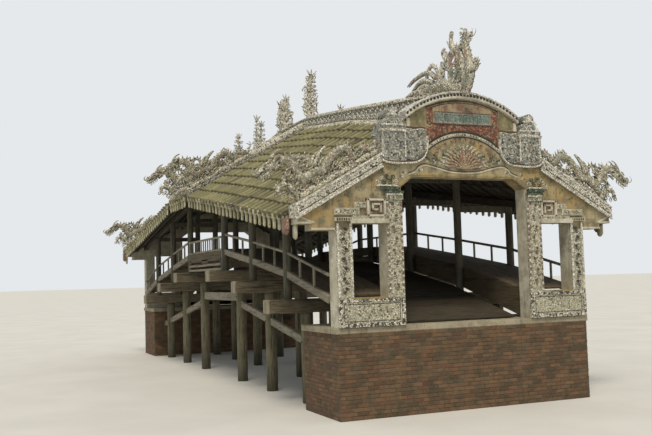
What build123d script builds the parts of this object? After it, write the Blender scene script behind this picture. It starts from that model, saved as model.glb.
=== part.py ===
"""Covered timber bridge with a tiled roof and two masonry portals, in millimetres.

X runs across the bridge, Y along it, Z up. Z = 0 is the stream bed at the pier feet.
Each half of the bridge mirrors the other, apart from the altar balcony on the -X side.
"""

import math
import os

from build123d import *

# Overall sizes, over the portal faces and across the portal walls.
bridge_length = 18750
portal_width = 5820
approach_level = 1750
half_length = bridge_length / 2
half_width = portal_width / 2

# Portal walls.
portal_thickness = 350
door_half_width = 1480
door_height = 2920
door_chamfer_run = 290
door_chamfer_rise = 210
window_inner = 1830
window_outer = 2580
window_sill = 560
window_head = 1990
gable_half_width = 3720
gable_set_back = 40
gable_edge = gable_half_width - gable_set_back
gable_soffit = 1860
gable_step_width = 280
gable_step_inner = gable_edge - gable_step_width
gable_step_rise = 120
coping_drop = 250
coping_overhang = 60
shoulder_inner = 1340
shoulder_outer = 1900
head_wall_height = 350
shoulder_foot = door_height + head_wall_height
shoulder_sag = 80
shoulder_height = 670
finial_radius = 190
finial_tip_radius = 115
arch_rise = 460
arch_band = 160
rake_foot = 2350
rake_slope = 0.56
through_cut = 10

# Pilasters and trim on the portal face.
pilaster_proud = 40
pilaster_top = 2620
capital_height = 170
capital_proud = 90
dado_gap = 30
lintel_height = 150

# Bays. The middle bay and the two end bays are set, and the side bays share what is left.
middle_bay = 3800
end_bay = 2325
wall_inner = half_length - portal_thickness
side_bay = (wall_inner - middle_bay / 2 - end_bay) / 2
frame_stations = [middle_bay / 2, middle_bay / 2 + side_bay, wall_inner - end_bay]

# Deck line above the approach level at the frames and at the portal, middle first.
deck_rise = [1400, 1100, 675]
deck_start = 50
plank = 40
joist_depth = 120
joist_width = 110
joist_outer = 1150
joist_inner = 400
deck_half_width = 1340
bench_rise = [1820, 1500, 1150]
bench_start = 620
bench_board = 40
bench_gap = 10
riser_board = 30
rail_rise = 420
rail_depth = 60
rail_width = 60
edge_beam_depth = 160
edge_beam_width = 80
baluster = 50

# Columns and cap beams.
column_radius = 90
outer_column = 2920
inner_column = 1450
cap_depth = 300
cap_width = 350
cap_half_length = 3440
post_radius = 140
post_outer = 2490
post_inner = 800
tie_depth = 140
tie_width = 120
tie_drop = 140
king_post = 120
bearer_depth = 90
bearer_width = 90

# Roof, measured at the underside of the eave and on top of the slab at the ridge. It reaches
# as far as the gables, and bends at the raking bands and over the second frames.
eave_reach = gable_half_width
roof_break = 1100
roof_stations = [roof_break, frame_stations[1]]
eave_rise = [3150, 2680]
eave_start = 1980
ridge_rise = [5400, 5020]
ridge_start = 4150
roof_slab = 140
purlin_width = 140
purlin_depth = 160
ridge_half_width = 140
ridge_height = [280, 310]
ridge_height_end = 600
hip_band_width = 240
hip_band_height = 150
hip_seat = 60

# The crown of the portal's arch is a little below the end of the ridge.
crown_drop = 210
arch_crown = ridge_start + ridge_height_end - crown_drop
arch_spring = arch_crown - arch_rise

# Abutments and the ties between the outer posts, measured at the ties' tops.
abutment_run = 1775
coping_thickness = 120
coping_lip = 40
lower_tie_width = 100
lower_tie_depth = 180
lower_tie_start = 420
lower_tie_end = -480
middle_tie_rise = 630
middle_tie_depth = 230

# Altar balcony on the -X side, fixed to the edge beam between the middle columns.
balcony_gap = 10
balcony_depth = 50
balcony_top = 2180
balcony_rail = 60
sill_rise = 1835
sill_depth = 50
panel_thickness = 25
panel_foot = 1445
slot_inner = 330
slot_outer = 1600
slot_foot = 1465
slot_height = 80
low_rail = 62
low_rail_gap = 65
slat = 30
slat_pitch = 235

# Mosaic dragons on the rakes. The strokes are in thousandths of the dragon's length,
# counted inwards from the eave and up from the rake, each with its width at both ends.
dragon_length = 2500
dragon_thickness = 140
dragon_strokes = [
    ([(740, 118), (700, 60), (620, 110), (540, 90), (470, 40)], (14, 60)),
    ([(530, 30), (508, 180), (400, 250), (300, 186), (276, 30)], (48, 56)),
    ([(300, 70), (220, 150), (130, 132), (45, 200)], (54, 66)),
    ([(45, 200), (-8, 318), (-96, 396), (-190, 392)], (66, 92)),
    ([(-150, 402), (-240, 424), (-290, 396)], (70, 26)),
    ([(-150, 372), (-230, 356), (-270, 332)], (60, 24)),
    ([(-120, 412), (-90, 470), (-40, 490)], (50, 16)),
    ([(64, 80), (-16, 158), (-126, 204)], (44, 22)),
    ([(704, 16), (488, 16), (248, 16), (48, 16)], (52, 68)),
]
dragon_stays = [(620, 110, 0), (400, 250, 0), (220, 150, -12), (130, 132, 12), (45, 200, 0)]
dragon_stay_half = 50

# Dragons on the ends of the ridge. The strokes are in thousandths of the dragon's length,
# counted inwards from the portal's face and up from the ridge.
ridge_dragon_length = 2500
ridge_dragon_half = 100
ridge_dragon_strokes = [
    ([(980, 12), (640, 16), (360, 24), (120, 70), (-50, 146)], (48, 150)),
    ([(-20, 66), (-90, 216), (-40, 336), (-70, 416), (-130, 426)], (170, 100)),
    ([(-90, 416), (-170, 406), (-214, 371)], (110, 40)),
    ([(-90, 376), (-150, 346), (-190, 331)], (70, 30)),
    ([(-60, 436), (-20, 481), (40, 487)], (60, 20)),
    ([(-40, 146), (-150, 126), (-250, 186)], (80, 50)),
    ([(0, 116), (-80, 46), (-60, -34)], (90, 60)),
    ([(110, 30), (170, 281), (108, 509)], (130, 30)),
    ([(190, 14), (240, 223), (280, 384)], (100, 24)),
    ([(300, 12), (340, 155), (376, 277)], (90, 24)),
    ([(400, 12), (480, 159), (540, 271)], (84, 24)),
    ([(520, 12), (600, 133), (640, 208)], (76, 24)),
    ([(680, 12), (800, 98), (890, 125)], (64, 24)),
]

# Flame, cluster and spire on the raking bands.
flame_half_width = 330
flame_height = 1750
cluster_place = 1570
cluster_half_width = 180
cluster_height = 990
spire_place = 960
spire_half_width = 90
spire_height = 1290

# Clearances between pieces that rest on each other.
seat = 0.3


def z_of(rise):
    """Return the height of a rise given above the approach level."""
    return approach_level + rise


def profile_line(rises, start, stations):
    """Return (y, z) along the whole bridge for rises given at the stations and the portal."""
    half = [(station, z_of(rise)) for station, rise in zip(stations, rises)]
    half.append((wall_inner, z_of(start)))
    return [(-y, z) for y, z in reversed(half)] + half


def lowered(points, amount):
    """Return the points moved down by an amount."""
    return [(y, z - amount) for y, z in points]


def side_face(x, lower, upper):
    """Return a face in the plane X = x between two lines of (y, z) points."""
    loop = [(x, y, z) for y, z in upper] + [(x, y, z) for y, z in reversed(lower)]
    return make_face(Polyline(*loop, close=True))


def run(x0, x1, lower, upper):
    """Return a solid from x0 to x1 whose side view lies between two lines."""
    return extrude(side_face(x0, lower, upper), amount=x1 - x0, dir=(1, 0, 0))


def block(x0, x1, y0, y1, z0, z1):
    """Return a rectangular timber or stone between six limits."""
    return run(x0, x1, [(y0, z0), (y1, z0)], [(y0, z1), (y1, z1)])


def front_face(y, points):
    """Return a face in the plane Y = y from (x, z) points, z above the approach level."""
    loop = [(x, y, z_of(z)) for x, z in points]
    return make_face(Polyline(*loop, close=True))


def front_solid(y0, y1, points):
    """Return a solid from y0 to y1 whose front view is a polygon."""
    return extrude(front_face(y0, points), amount=y1 - y0, dir=(0, 1, 0))


def other_side(shape):
    """Return the shape mirrored to the other side of the bridge."""
    return mirror(shape, about=Plane.YZ)


def other_end(shape):
    """Return the shape mirrored to the other end of the bridge."""
    return mirror(shape, about=Plane.XZ)


def join(shapes):
    """Return one compound or solid of all the shapes fused."""
    shapes = list(shapes)
    result = shapes[0]
    for shape in shapes[1:]:
        result = result + shape
    return result


def pair(shape):
    """Return the shape and its mirror image across the bridge as one compound."""
    return Compound(list(shape.solids()) + list(other_side(shape).solids()))


def ribbon(points, widths, steps=20):
    """Return the outline of a curved body through points, with its width at both ends."""
    curve = Spline(*[(a, b, 0) for a, b in points])
    left = []
    right = []
    for i in range(steps + 1):
        t = i / steps
        place = curve @ t
        along = curve % t
        half = (widths[0] + (widths[1] - widths[0]) * t) / 2
        left.append((place.X - along.Y * half, place.Y + along.X * half))
        right.append((place.X + along.Y * half, place.Y - along.X * half))
    return left + list(reversed(right))


def disc(radius, sides=12):
    """Return the (x, y) corners of a round outline."""
    return [
        (radius * math.cos(2 * math.pi * i / sides), radius * math.sin(2 * math.pi * i / sides))
        for i in range(sides)
    ]


# Lines that the pieces share.
deck_top = profile_line(deck_rise, deck_start, frame_stations)
bench_top = profile_line(bench_rise, bench_start, frame_stations)
rail_top = lowered(bench_top, -rail_rise)
eave_top = lowered(profile_line(eave_rise, eave_start, roof_stations), -roof_slab)
ridge_base = profile_line(ridge_rise, ridge_start, roof_stations)
ridge_top = profile_line(
    [rise + height for rise, height in zip(ridge_rise, ridge_height)],
    ridge_start + ridge_height_end,
    roof_stations,
)


def roof_over(x):
    """Return the line of the roof's upper side at a distance from the middle."""
    share = 1 - abs(x) / eave_reach
    return [(y, low + (high - low) * share) for (y, low), (_, high) in zip(eave_top, ridge_base)]


def roof_under(x):
    """Return the line of the roof's underside at a distance from the middle."""
    return lowered(roof_over(x), roof_slab)


def at_station(points, y):
    """Return the height of a line at a point along the bridge."""
    for (ya, za), (yb, zb) in zip(points, points[1:]):
        if ya <= y <= yb:
            return za + (zb - za) * (y - ya) / (yb - ya)
    raise ValueError("outside the line")


# Abutments: brick blocks with a stone coping at the approach level.
def make_abutment():
    """Return the near abutment with its coping."""
    body = block(
        -half_width, half_width, -half_length, -half_length + abutment_run, 0, z_of(-coping_thickness)
    )
    coping = block(
        -half_width - coping_lip,
        half_width + coping_lip,
        -half_length,
        -half_length + abutment_run + coping_lip,
        z_of(-coping_thickness),
        z_of(0),
    )
    return body + coping


# Portal: a wall on each side of the doorway and one over it.
def rake_line(x):
    """Return the rise of the coping's upper edge at a distance from the middle."""
    return rake_foot + (gable_half_width - abs(x)) * rake_slope


def make_portal_side():
    """Return the near portal's wall on the +X side, with its window."""
    step = gable_soffit + gable_step_rise
    points = [
        (door_half_width, 0),
        (half_width, 0),
        (half_width, gable_soffit),
        (gable_step_inner, gable_soffit),
        (gable_step_inner, step),
        (gable_edge, step),
        (gable_edge, rake_line(gable_edge) - coping_drop),
        (shoulder_outer, rake_line(shoulder_outer) - coping_drop),
        (shoulder_outer, shoulder_foot),
        (door_half_width, shoulder_foot),
    ]
    wall = front_solid(-half_length, -wall_inner, points)
    window = block(
        window_inner,
        window_outer,
        -half_length - through_cut,
        -wall_inner + through_cut,
        z_of(window_sill),
        z_of(window_head),
    )
    return wall - window


def arch_face(y, half, spring, crown, foot):
    """Return a face with a segmental arch on top and a flat foot."""
    z0 = z_of(foot)
    z1 = z_of(spring)
    arc = ThreePointArc((half, y, z1), (0, y, z_of(crown)), (-half, y, z1))
    rest = Polyline((-half, y, z1), (-half, y, z0), (half, y, z0), (half, y, z1))
    return make_face(arc + rest)


def make_portal_head():
    """Return the near portal's wall over the doorway."""
    jamb = door_height - door_chamfer_rise
    lower = front_solid(
        -half_length,
        -wall_inner,
        [
            (-door_half_width, jamb),
            (-door_half_width + door_chamfer_run, door_height),
            (door_half_width - door_chamfer_run, door_height),
            (door_half_width, jamb),
            (door_half_width, shoulder_foot),
            (-door_half_width, shoulder_foot),
        ],
    )
    upper = extrude(
        arch_face(-half_length, shoulder_inner, arch_spring, arch_crown, shoulder_foot),
        amount=portal_thickness,
        dir=(0, 1, 0),
    )
    return lower + upper


def make_portal_mouldings():
    """Return the near portal's copings, shoulders, arch band and pilasters."""
    front = -half_length - coping_overhang
    back = -wall_inner
    coping = front_solid(
        front,
        back,
        [
            (gable_half_width, rake_line(gable_half_width) - coping_drop),
            (gable_half_width, rake_line(gable_half_width)),
            (shoulder_outer, rake_line(shoulder_outer)),
            (shoulder_outer, rake_line(shoulder_outer) - coping_drop),
        ],
    )
    middle = (shoulder_inner + shoulder_outer) / 2
    half = (shoulder_outer - shoulder_inner) / 2
    top = shoulder_foot + shoulder_height
    shoulder = front_solid(
        front,
        back,
        [
            (shoulder_inner, shoulder_foot),
            (shoulder_outer, shoulder_foot),
            (shoulder_outer, top),
            (shoulder_inner, top),
        ],
    )
    sag = shoulder_sag / half
    foot = front_solid(
        front,
        -half_length,
        [(middle + x, shoulder_foot + z * sag) for x, z in disc(half, 24)],
    )
    finial = front_solid(
        front,
        back,
        [(middle + x, top + z) for x, z in disc(finial_radius)],
    )
    tip_height = top + finial_radius + finial_tip_radius / 2
    tip = front_solid(
        front,
        back,
        [(middle + x, tip_height + z) for x, z in disc(finial_tip_radius)],
    )
    sides = pair(coping + (shoulder + foot + finial + tip))
    band_foot = arch_spring - through_cut
    band_inner = arch_face(front, shoulder_inner, arch_spring, arch_crown, band_foot)
    band_outer = arch_face(
        front, shoulder_inner, arch_spring + arch_band, arch_crown + arch_band, band_foot
    )
    band = extrude(band_outer, amount=back - front, dir=(0, 1, 0))
    band = band - extrude(band_inner, amount=back - front, dir=(0, 1, 0))
    return Compound(list(sides.solids()) + list(band.solids()))


def make_pilasters():
    """Return the near portal's pilasters, capital, lintel and dado panel on one side."""
    face = -half_length
    proud = face - pilaster_proud
    dado_top = z_of(window_sill - dado_gap)
    dado = block(door_half_width, half_width, proud, face, z_of(0), dado_top)
    inner = block(door_half_width, window_inner, proud, face, dado_top, z_of(pilaster_top))
    outer = block(window_outer, half_width, proud, face, dado_top, z_of(gable_soffit))
    capital = block(
        door_half_width,
        window_inner,
        face - capital_proud,
        face,
        z_of(pilaster_top - capital_height),
        z_of(pilaster_top),
    )
    lintel = block(
        window_inner,
        window_outer,
        proud,
        face,
        z_of(window_head),
        z_of(window_head + lintel_height),
    )
    return dado + inner + outer + capital + lintel


def rake_dragon(line, y0, y1):
    """Return a +X dragon whose strokes are placed by their height above a raking line."""
    unit = dragon_length / 1000
    solids = []
    for points, widths in dragon_strokes:
        path = [(eave_reach - a * unit, line(eave_reach - a * unit) + b * unit) for a, b in points]
        outline = ribbon(path, [width * unit for width in widths], 12)
        solids.append(front_solid(y0, y1, outline))
    half = dragon_stay_half
    for inwards, up, lean in dragon_stays:
        x = eave_reach - inwards * unit
        shift = lean * unit
        solids.append(
            front_solid(
                y0,
                y1,
                [
                    (x - half, line(x) - half),
                    (x + half, line(x) - half),
                    (x + half + shift, line(x) + up * unit),
                    (x - half + shift, line(x) + up * unit),
                ],
            )
        )
    return join(solids)


def make_ridge_dragon():
    """Return the near dragon that stands on the end of the ridge, before it is cut to its seat."""
    unit = ridge_dragon_length / 1000
    solids = []
    for points, widths in ridge_dragon_strokes:
        path = []
        for inwards, up in points:
            y = -half_length + inwards * unit
            path.append((y, at_station(ridge_top, max(y, -wall_inner)) + up * unit))
        outline = ribbon(path, [width * unit for width in widths], 14)
        face = make_face(Polyline(*[(-ridge_dragon_half, y, z) for y, z in outline], close=True))
        solids.append(extrude(face, amount=2 * ridge_dragon_half, dir=(1, 0, 0)))
    return join(solids)


# Bents: four posts under a cap beam.
def cap_top(index):
    """Return the height of a cap beam's top."""
    return z_of(deck_rise[index]) - plank - joist_depth


def make_bent(index):
    """Return one near bent at its frame station."""
    y = -frame_stations[index]
    top = cap_top(index)
    cap = block(
        -cap_half_length, cap_half_length, y - cap_width / 2, y + cap_width / 2, top - cap_depth, top
    )
    posts = []
    for x in (-post_outer, -post_inner, post_inner, post_outer):
        posts.append(Pos(x, y, (top - cap_depth) / 2) * Cylinder(post_radius, top - cap_depth))
    return join([cap] + posts)


# Frames: two inner and two outer columns, a tie beam and the bench bearers.
def make_frame(index):
    """Return one near frame standing on its cap beam."""
    y = -frame_stations[index]
    foot = cap_top(index)
    half = tie_width / 2
    sides = []
    for x in (inner_column, outer_column):
        head = at_station(roof_under(x + purlin_width / 2), y) - purlin_depth
        sides.append(Pos(x, y, (foot + head) / 2) * Cylinder(column_radius, head - foot))
        if x == inner_column:
            tie_top = head - tie_drop
    sides.append(block(inner_column, outer_column, y - half, y + half, head - tie_depth, head))
    under = z_of(bench_rise[index]) - bench_board
    bearer = bearer_width / 2
    sides.append(
        block(inner_column, outer_column, y - bearer, y + bearer, under - bearer_depth, under)
    )
    side = join(sides)
    tie = block(-inner_column, inner_column, y - half, y + half, tie_top - tie_depth, tie_top)
    king_head = at_station(roof_under(purlin_width / 2), y) - purlin_depth
    king = king_post / 2
    king_block = block(-king, king, y - king, y + king, tie_top, king_head)
    return join([tie, king_block, side, other_side(side)])


def make_purlins():
    """Return the ridge purlin and two purlins on each slope."""
    solids = []
    for x in (-outer_column, -inner_column, 0, inner_column, outer_column):
        upper = lowered(roof_under(abs(x) + purlin_width / 2), seat)
        solids.append(run(x - purlin_width / 2, x + purlin_width / 2, lowered(upper, purlin_depth), upper))
    return solids


def make_deck():
    """Return the walkway planks on their joists."""
    boards = run(-deck_half_width, deck_half_width, lowered(deck_top, plank), deck_top)
    joists = []
    for x in (-joist_outer, -joist_inner, joist_inner, joist_outer):
        joists.append(
            run(
                x - joist_width / 2,
                x + joist_width / 2,
                lowered(deck_top, plank + joist_depth),
                lowered(deck_top, plank),
            )
        )
    return join([boards] + joists)


def make_bench():
    """Return the +X bench with its riser."""
    x0 = inner_column + column_radius + bench_gap
    x1 = outer_column - edge_beam_width / 2 - bench_gap
    seat_board = run(x0, x1, lowered(bench_top, bench_board), bench_top)
    riser = run(x0, x0 + riser_board, lowered(deck_top, plank), lowered(bench_top, bench_board))
    return seat_board + riser


def make_railing(middle):
    """Return the +X edge beam with rails between the columns, also in the middle bay or not."""
    beam = edge_beam_width / 2
    solids = [
        run(outer_column - beam, outer_column + beam, lowered(bench_top, edge_beam_depth), bench_top)
    ]
    rail = rail_width / 2
    post = baluster / 2
    for (ya, za), (yb, zb) in zip(rail_top, rail_top[1:]):
        if ya < 0 < yb and not middle:
            continue
        line = [(ya, za), (yb, zb)]
        under = lowered(line, rail_depth)
        solids.append(run(outer_column - rail, outer_column + rail, under, line))
        for i in range(1, 3):
            y = ya + (yb - ya) * i / 3
            low = [(v, at_station(bench_top, v)) for v in (y - post, y + post)]
            high = [(v, at_station(under, v)) for v in (y - post, y + post)]
            solids.append(run(outer_column - post, outer_column + post, low, high))
    return join(solids)


def make_balcony():
    """Return the altar balcony's front: slats over a boarded panel with two slots."""
    half = middle_bay / 2 - column_radius - balcony_gap
    inner = -(outer_column + edge_beam_width / 2)
    outer = inner - balcony_depth
    top = z_of(balcony_top)
    sill = z_of(sill_rise)
    foot = z_of(panel_foot)
    rails = [(top - balcony_rail, top), (sill - sill_depth, sill)]
    for i in (0, 1):
        upper = foot - i * (low_rail + low_rail_gap)
        rails.append((upper - low_rail, upper))
    solids = [block(outer, inner, -half, half, z0, z1) for z0, z1 in rails]
    panel = block(inner - panel_thickness, inner, -half, half, foot, sill - sill_depth)
    for side in (-1, 1):
        ends = sorted((side * slot_inner, side * slot_outer))
        low = z_of(slot_foot)
        panel = panel - block(outer, inner + through_cut, ends[0], ends[1], low, low + slot_height)
        ends = sorted((side * half, side * (half - balcony_rail)))
        solids.append(block(inner - panel_thickness, inner, ends[0], ends[1], rails[-1][0], top))
    solids.append(panel)
    count = int(2 * half / slat_pitch)
    back = inner - (balcony_depth - slat) / 2
    for i in range(1, count):
        y = -half + 2 * half * i / count
        solids.append(block(back - slat, back, y - slat / 2, y + slat / 2, sill, top - balcony_rail))
    return join(solids)


def make_lower_ties():
    """Return the +X ties in the plane of the outer posts, before the posts are cut out."""
    x0 = post_outer - lower_tie_width / 2
    x1 = x0 + lower_tie_width
    reach = frame_stations[0]
    middle = block(x0, x1, -reach, reach, z_of(middle_tie_rise - middle_tie_depth), z_of(middle_tie_rise))
    line = [(-(half_length - abutment_run), z_of(lower_tie_end)), (-reach, z_of(lower_tie_start))]
    slanted = run(x0, x1, lowered(line, lower_tie_depth), line)
    return Compound(list(middle.solids()) + list(slanted.solids()) + list(other_end(slanted).solids()))


# Roof: slabs that slope to each eave, cut into the level middle and the two ends.
def roof_slab_between(first, last):
    """Return the +X roof slab between two bends of the roof."""
    ends = []
    for x in (eave_reach, 0):
        ends.append(side_face(x, roof_under(x)[first:last], roof_over(x)[first:last]))
    return loft(ends, ruled=True)


def make_ridge_band(slabs):
    """Return the mosaic ridge that caps the two slopes."""
    band = run(-ridge_half_width, ridge_half_width, roof_over(ridge_half_width), ridge_top)
    for slab in slabs:
        band = band - slab
    return band


def hip_line(x):
    """Return the rise of a raking band's upper edge at a distance from the middle."""
    return at_station(roof_over(x), roof_break) - approach_level + hip_band_height


def make_hip_band():
    """Return the near raking band across the roof where the middle section starts."""
    y = -roof_break
    inner = ridge_half_width
    points = [
        (inner, hip_line(inner) - hip_band_height),
        (eave_reach, hip_line(eave_reach) - hip_band_height),
        (eave_reach, hip_line(eave_reach)),
        (inner, hip_line(inner)),
    ]
    return pair(front_solid(y - hip_band_width / 2, y + hip_band_width / 2, points))


def make_flame():
    """Return the near flame that stands on the ridge over a raking band."""
    edge = [(0, 0), (1, 0), (0.79, 0.4), (0.45, 0.54), (0.18, 0.96), (0, 1)]
    right = [(a * flame_half_width, ridge_rise[0] + b * flame_height) for a, b in edge]
    outline = right + [(-x, z) for x, z in reversed(right[1:-1])]
    y = -roof_break
    return front_solid(y - dragon_thickness / 2, y + dragon_thickness / 2, outline)


def make_spires():
    """Return the +X cluster and spire that stand on the near raking band."""
    y = -roof_break
    sizes = [
        (spire_place, spire_half_width, spire_height),
        (cluster_place, cluster_half_width, cluster_height),
    ]
    solids = []
    for x, half, high in sizes:
        foot = hip_line(x) - hip_seat
        outline = [
            (x - half, hip_line(x - half) - hip_seat),
            (x + half, hip_line(x + half) - hip_seat),
            (x + half * 0.8, foot + high * 0.6),
            (x, foot + high),
            (x - half * 0.8, foot + high * 0.6),
        ]
        solids.append(front_solid(y - dragon_thickness / 2, y + dragon_thickness / 2, outline))
    return solids


# Node shapes.
nodes = {}
abutment = make_abutment()
nodes["abutment_near"] = abutment
nodes["abutment_far"] = other_end(abutment)
portal_side = make_portal_side()
portal_head = make_portal_head()
mouldings = make_portal_mouldings()
pilasters = make_pilasters()
trim = Compound(list(mouldings.solids()) + list(pair(pilasters).solids()))
nodes["portal_near_right"] = portal_side
nodes["portal_near_left"] = other_side(portal_side)
nodes["portal_near_head"] = portal_head
nodes["portal_near_mouldings"] = trim
nodes["portal_far_right"] = other_end(portal_side)
nodes["portal_far_left"] = other_end(other_side(portal_side))
nodes["portal_far_head"] = other_end(portal_head)
nodes["portal_far_mouldings"] = other_end(trim)
bents = [make_bent(i) for i in range(3)]
purlins = make_purlins()
frames = []
for index in range(3):
    frame = make_frame(index)
    for purlin in purlins:
        frame = frame - purlin
    frames.append(frame)
for index in range(3):
    number = 3 - index
    nodes[f"bent_{number}"] = bents[index]
    nodes[f"bent_{7 - number}"] = other_end(bents[index])
    nodes[f"frame_{number}"] = frames[index]
    nodes[f"frame_{7 - number}"] = other_end(frames[index])
nodes["purlins"] = Compound([solid for purlin in purlins for solid in purlin.solids()])

deck = make_deck()
for shape in bents + [other_end(bent) for bent in bents] + [abutment, other_end(abutment)]:
    deck = deck - shape
nodes["walkway"] = deck
bench = make_bench()
for shape in frames + [other_end(frame) for frame in frames] + [abutment, other_end(abutment)]:
    bench = bench - shape
nodes["bench_right"] = bench
nodes["bench_left"] = other_side(bench)
railings = []
for middle in (True, False):
    railing = make_railing(middle)
    for shape in frames + [other_end(frame) for frame in frames]:
        railing = railing - shape
    railings.append(railing)
nodes["railing_right"] = railings[0]
nodes["railing_left"] = other_side(railings[1])
nodes["balcony"] = make_balcony()
lower_ties = make_lower_ties()
for shape in bents + [other_end(bent) for bent in bents]:
    lower_ties = lower_ties - shape
nodes["lower_ties"] = pair(lower_ties)

slab_near = roof_slab_between(0, 3)
slab_middle = roof_slab_between(2, 4)
slabs = [slab_near, slab_middle, other_end(slab_near)]
slabs += [other_side(slab) for slab in slabs]
for name, slab in zip(("near", "middle", "far"), slabs):
    nodes[f"roof_{name}_right"] = slab
    nodes[f"roof_{name}_left"] = other_side(slab)
ridge_band = make_ridge_band(slabs)
nodes["ridge_band"] = ridge_band
hip_band = make_hip_band()
nodes["raking_band_near"] = hip_band
nodes["raking_band_far"] = other_end(hip_band)

dragon_front = -(half_length + wall_inner) / 2 - dragon_thickness / 2
rake = rake_dragon(rake_line, dragon_front, dragon_front + dragon_thickness) - mouldings
dragons = pair(rake)
nodes["rake_dragons_near"] = dragons
nodes["rake_dragons_far"] = other_end(dragons)
middle_front = -roof_break - dragon_thickness / 2
middle_dragon = rake_dragon(hip_line, middle_front, middle_front + dragon_thickness)
middle_set = join([middle_dragon] + make_spires()) - hip_band
flame = make_flame() - ridge_band - hip_band
middle_set = Compound(list(pair(middle_set).solids()) + list(flame.solids()))
nodes["middle_dragons_near"] = middle_set
nodes["middle_dragons_far"] = other_end(middle_set)
ridge_dragon = make_ridge_dragon() - ridge_band - portal_head - mouldings
nodes["ridge_dragon_near"] = ridge_dragon
nodes["ridge_dragon_far"] = other_end(ridge_dragon)

os.makedirs("parts", exist_ok=True)
for node, shape in nodes.items():
    export_step(shape, f"parts/{node}.step")
print(len(nodes), "nodes written")
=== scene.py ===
"""Covered timber bridge with a tiled roof and mosaic portals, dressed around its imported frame."""

import logging
import math
import random
from collections.abc import Callable, Sequence
from dataclasses import dataclass, field
from enum import Enum

import bmesh
import bpy
from mathutils import Matrix, Vector


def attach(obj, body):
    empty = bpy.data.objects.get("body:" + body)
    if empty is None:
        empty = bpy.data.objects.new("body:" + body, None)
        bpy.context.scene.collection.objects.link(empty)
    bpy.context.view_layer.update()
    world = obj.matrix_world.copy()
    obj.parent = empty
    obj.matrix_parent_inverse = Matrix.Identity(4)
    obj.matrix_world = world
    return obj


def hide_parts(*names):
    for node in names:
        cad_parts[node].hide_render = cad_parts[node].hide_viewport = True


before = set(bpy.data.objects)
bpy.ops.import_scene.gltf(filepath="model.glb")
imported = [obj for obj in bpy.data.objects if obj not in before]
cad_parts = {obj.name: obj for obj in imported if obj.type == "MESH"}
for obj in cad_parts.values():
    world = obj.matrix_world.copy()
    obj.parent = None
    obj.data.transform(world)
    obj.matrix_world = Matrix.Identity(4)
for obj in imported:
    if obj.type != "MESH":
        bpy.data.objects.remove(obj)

log = logging.getLogger("covered_bridge")
BODY = "root"
Point = tuple[float, float, float]
Flat = tuple[float, float]
Place = tuple[Vector, Matrix, Point, float]
Stops = tuple[tuple[float, str], ...]
Socket = bpy.types.NodeSocket
UP = Vector((0, 0, 1))
ALONG = Vector((0, 1, 0))


class Side(Enum):
    """The two sides of the bridge."""

    LEFT = -1
    RIGHT = 1


class End(Enum):
    """The two ends of the bridge."""

    NEAR = -1
    FAR = 1


class Grain(Enum):
    """The axis along which the grain of a timber runs."""

    ACROSS = 0
    ALONG = 1
    UPRIGHT = 2


@dataclass(frozen=True)
class Lines:
    """Sizes in metres that the pieces share with the frame. Heights are above the approach, unless absolute."""

    approach: float = 1.75
    half_length: float = 9.375
    wall: float = 9.025
    half_width: float = 2.91
    gable: float = 3.72
    rake_foot: float = 2.35
    rake_slope: float = 0.56
    shoulder_inner: float = 1.34
    shoulder_outer: float = 1.90
    stations: tuple[float, ...] = (1.9, 4.3, 6.7)
    deck: tuple[float, ...] = (1.40, 1.10, 0.675, 0.05)
    bench: tuple[float, ...] = (1.82, 1.50, 1.15, 0.62)
    roof_break: float = 1.1
    eave: tuple[float, ...] = (3.15, 2.68, 1.98)
    ridge: tuple[float, ...] = (5.40, 5.02, 4.15)
    ridge_cap: tuple[float, ...] = (5.68, 5.33, 4.75)
    slab: float = 0.14
    band: float = 0.15
    outer_column: float = 2.92

    def along(self, rises: Sequence[float], y: float, places: Sequence[float] | None = None) -> float:
        """Return the height of a line at a point along the bridge.

        Args:
            rises: Heights above the approach at the places and at the portal wall.
            y: Place along the bridge.
            places: Where the line bends, the frames by default.

        Returns:
            The absolute height.
        """
        bends = (0.0, *(places or self.stations), self.wall)
        heights = (rises[0], *rises)
        reach = min(abs(y), self.wall)
        for k in range(len(bends) - 1):
            if reach <= bends[k + 1]:
                part = (reach - bends[k]) / (bends[k + 1] - bends[k])
                return self.approach + heights[k] + (heights[k + 1] - heights[k]) * part
        return self.approach + rises[-1]

    def roof(self, x: float, y: float) -> float:
        """Return the absolute height of the roof slab's upper side.

        Args:
            x: Place across the bridge.
            y: Place along it.

        Returns:
            The absolute height.
        """
        places = (self.roof_break, self.stations[1])
        low = self.along(self.eave, y, places) + self.slab
        high = self.along(self.ridge, y, places)
        return low + (high - low) * (1 - abs(x) / self.gable)

    def ridge_top(self, y: float) -> float:
        """Return the absolute height of the ridge band's top."""
        return self.along(self.ridge_cap, y, (self.roof_break, self.stations[1]))

    def rake(self, x: float) -> float:
        """Return the absolute height of the portal coping's upper edge."""
        return self.approach + self.rake_foot + (self.gable - abs(x)) * self.rake_slope

    def middle_rake(self, x: float) -> float:
        """Return the absolute height of a raking band's upper edge."""
        return self.roof(x, self.roof_break) + self.band


LINES = Lines()


def linear(code: str) -> tuple[float, float, float, float]:
    """Turn an sRGB hex colour into the linear values that nodes take.

    Args:
        code: Six hex digits with a leading hash.

    Returns:
        Red, green, blue and full opacity.
    """
    parts = [int(code[i : i + 2], 16) / 255 for i in (1, 3, 5)]
    red, green, blue = (c / 12.92 if c <= 0.04045 else ((c + 0.055) / 1.055) ** 2.4 for c in parts)
    return (red, green, blue, 1.0)


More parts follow.
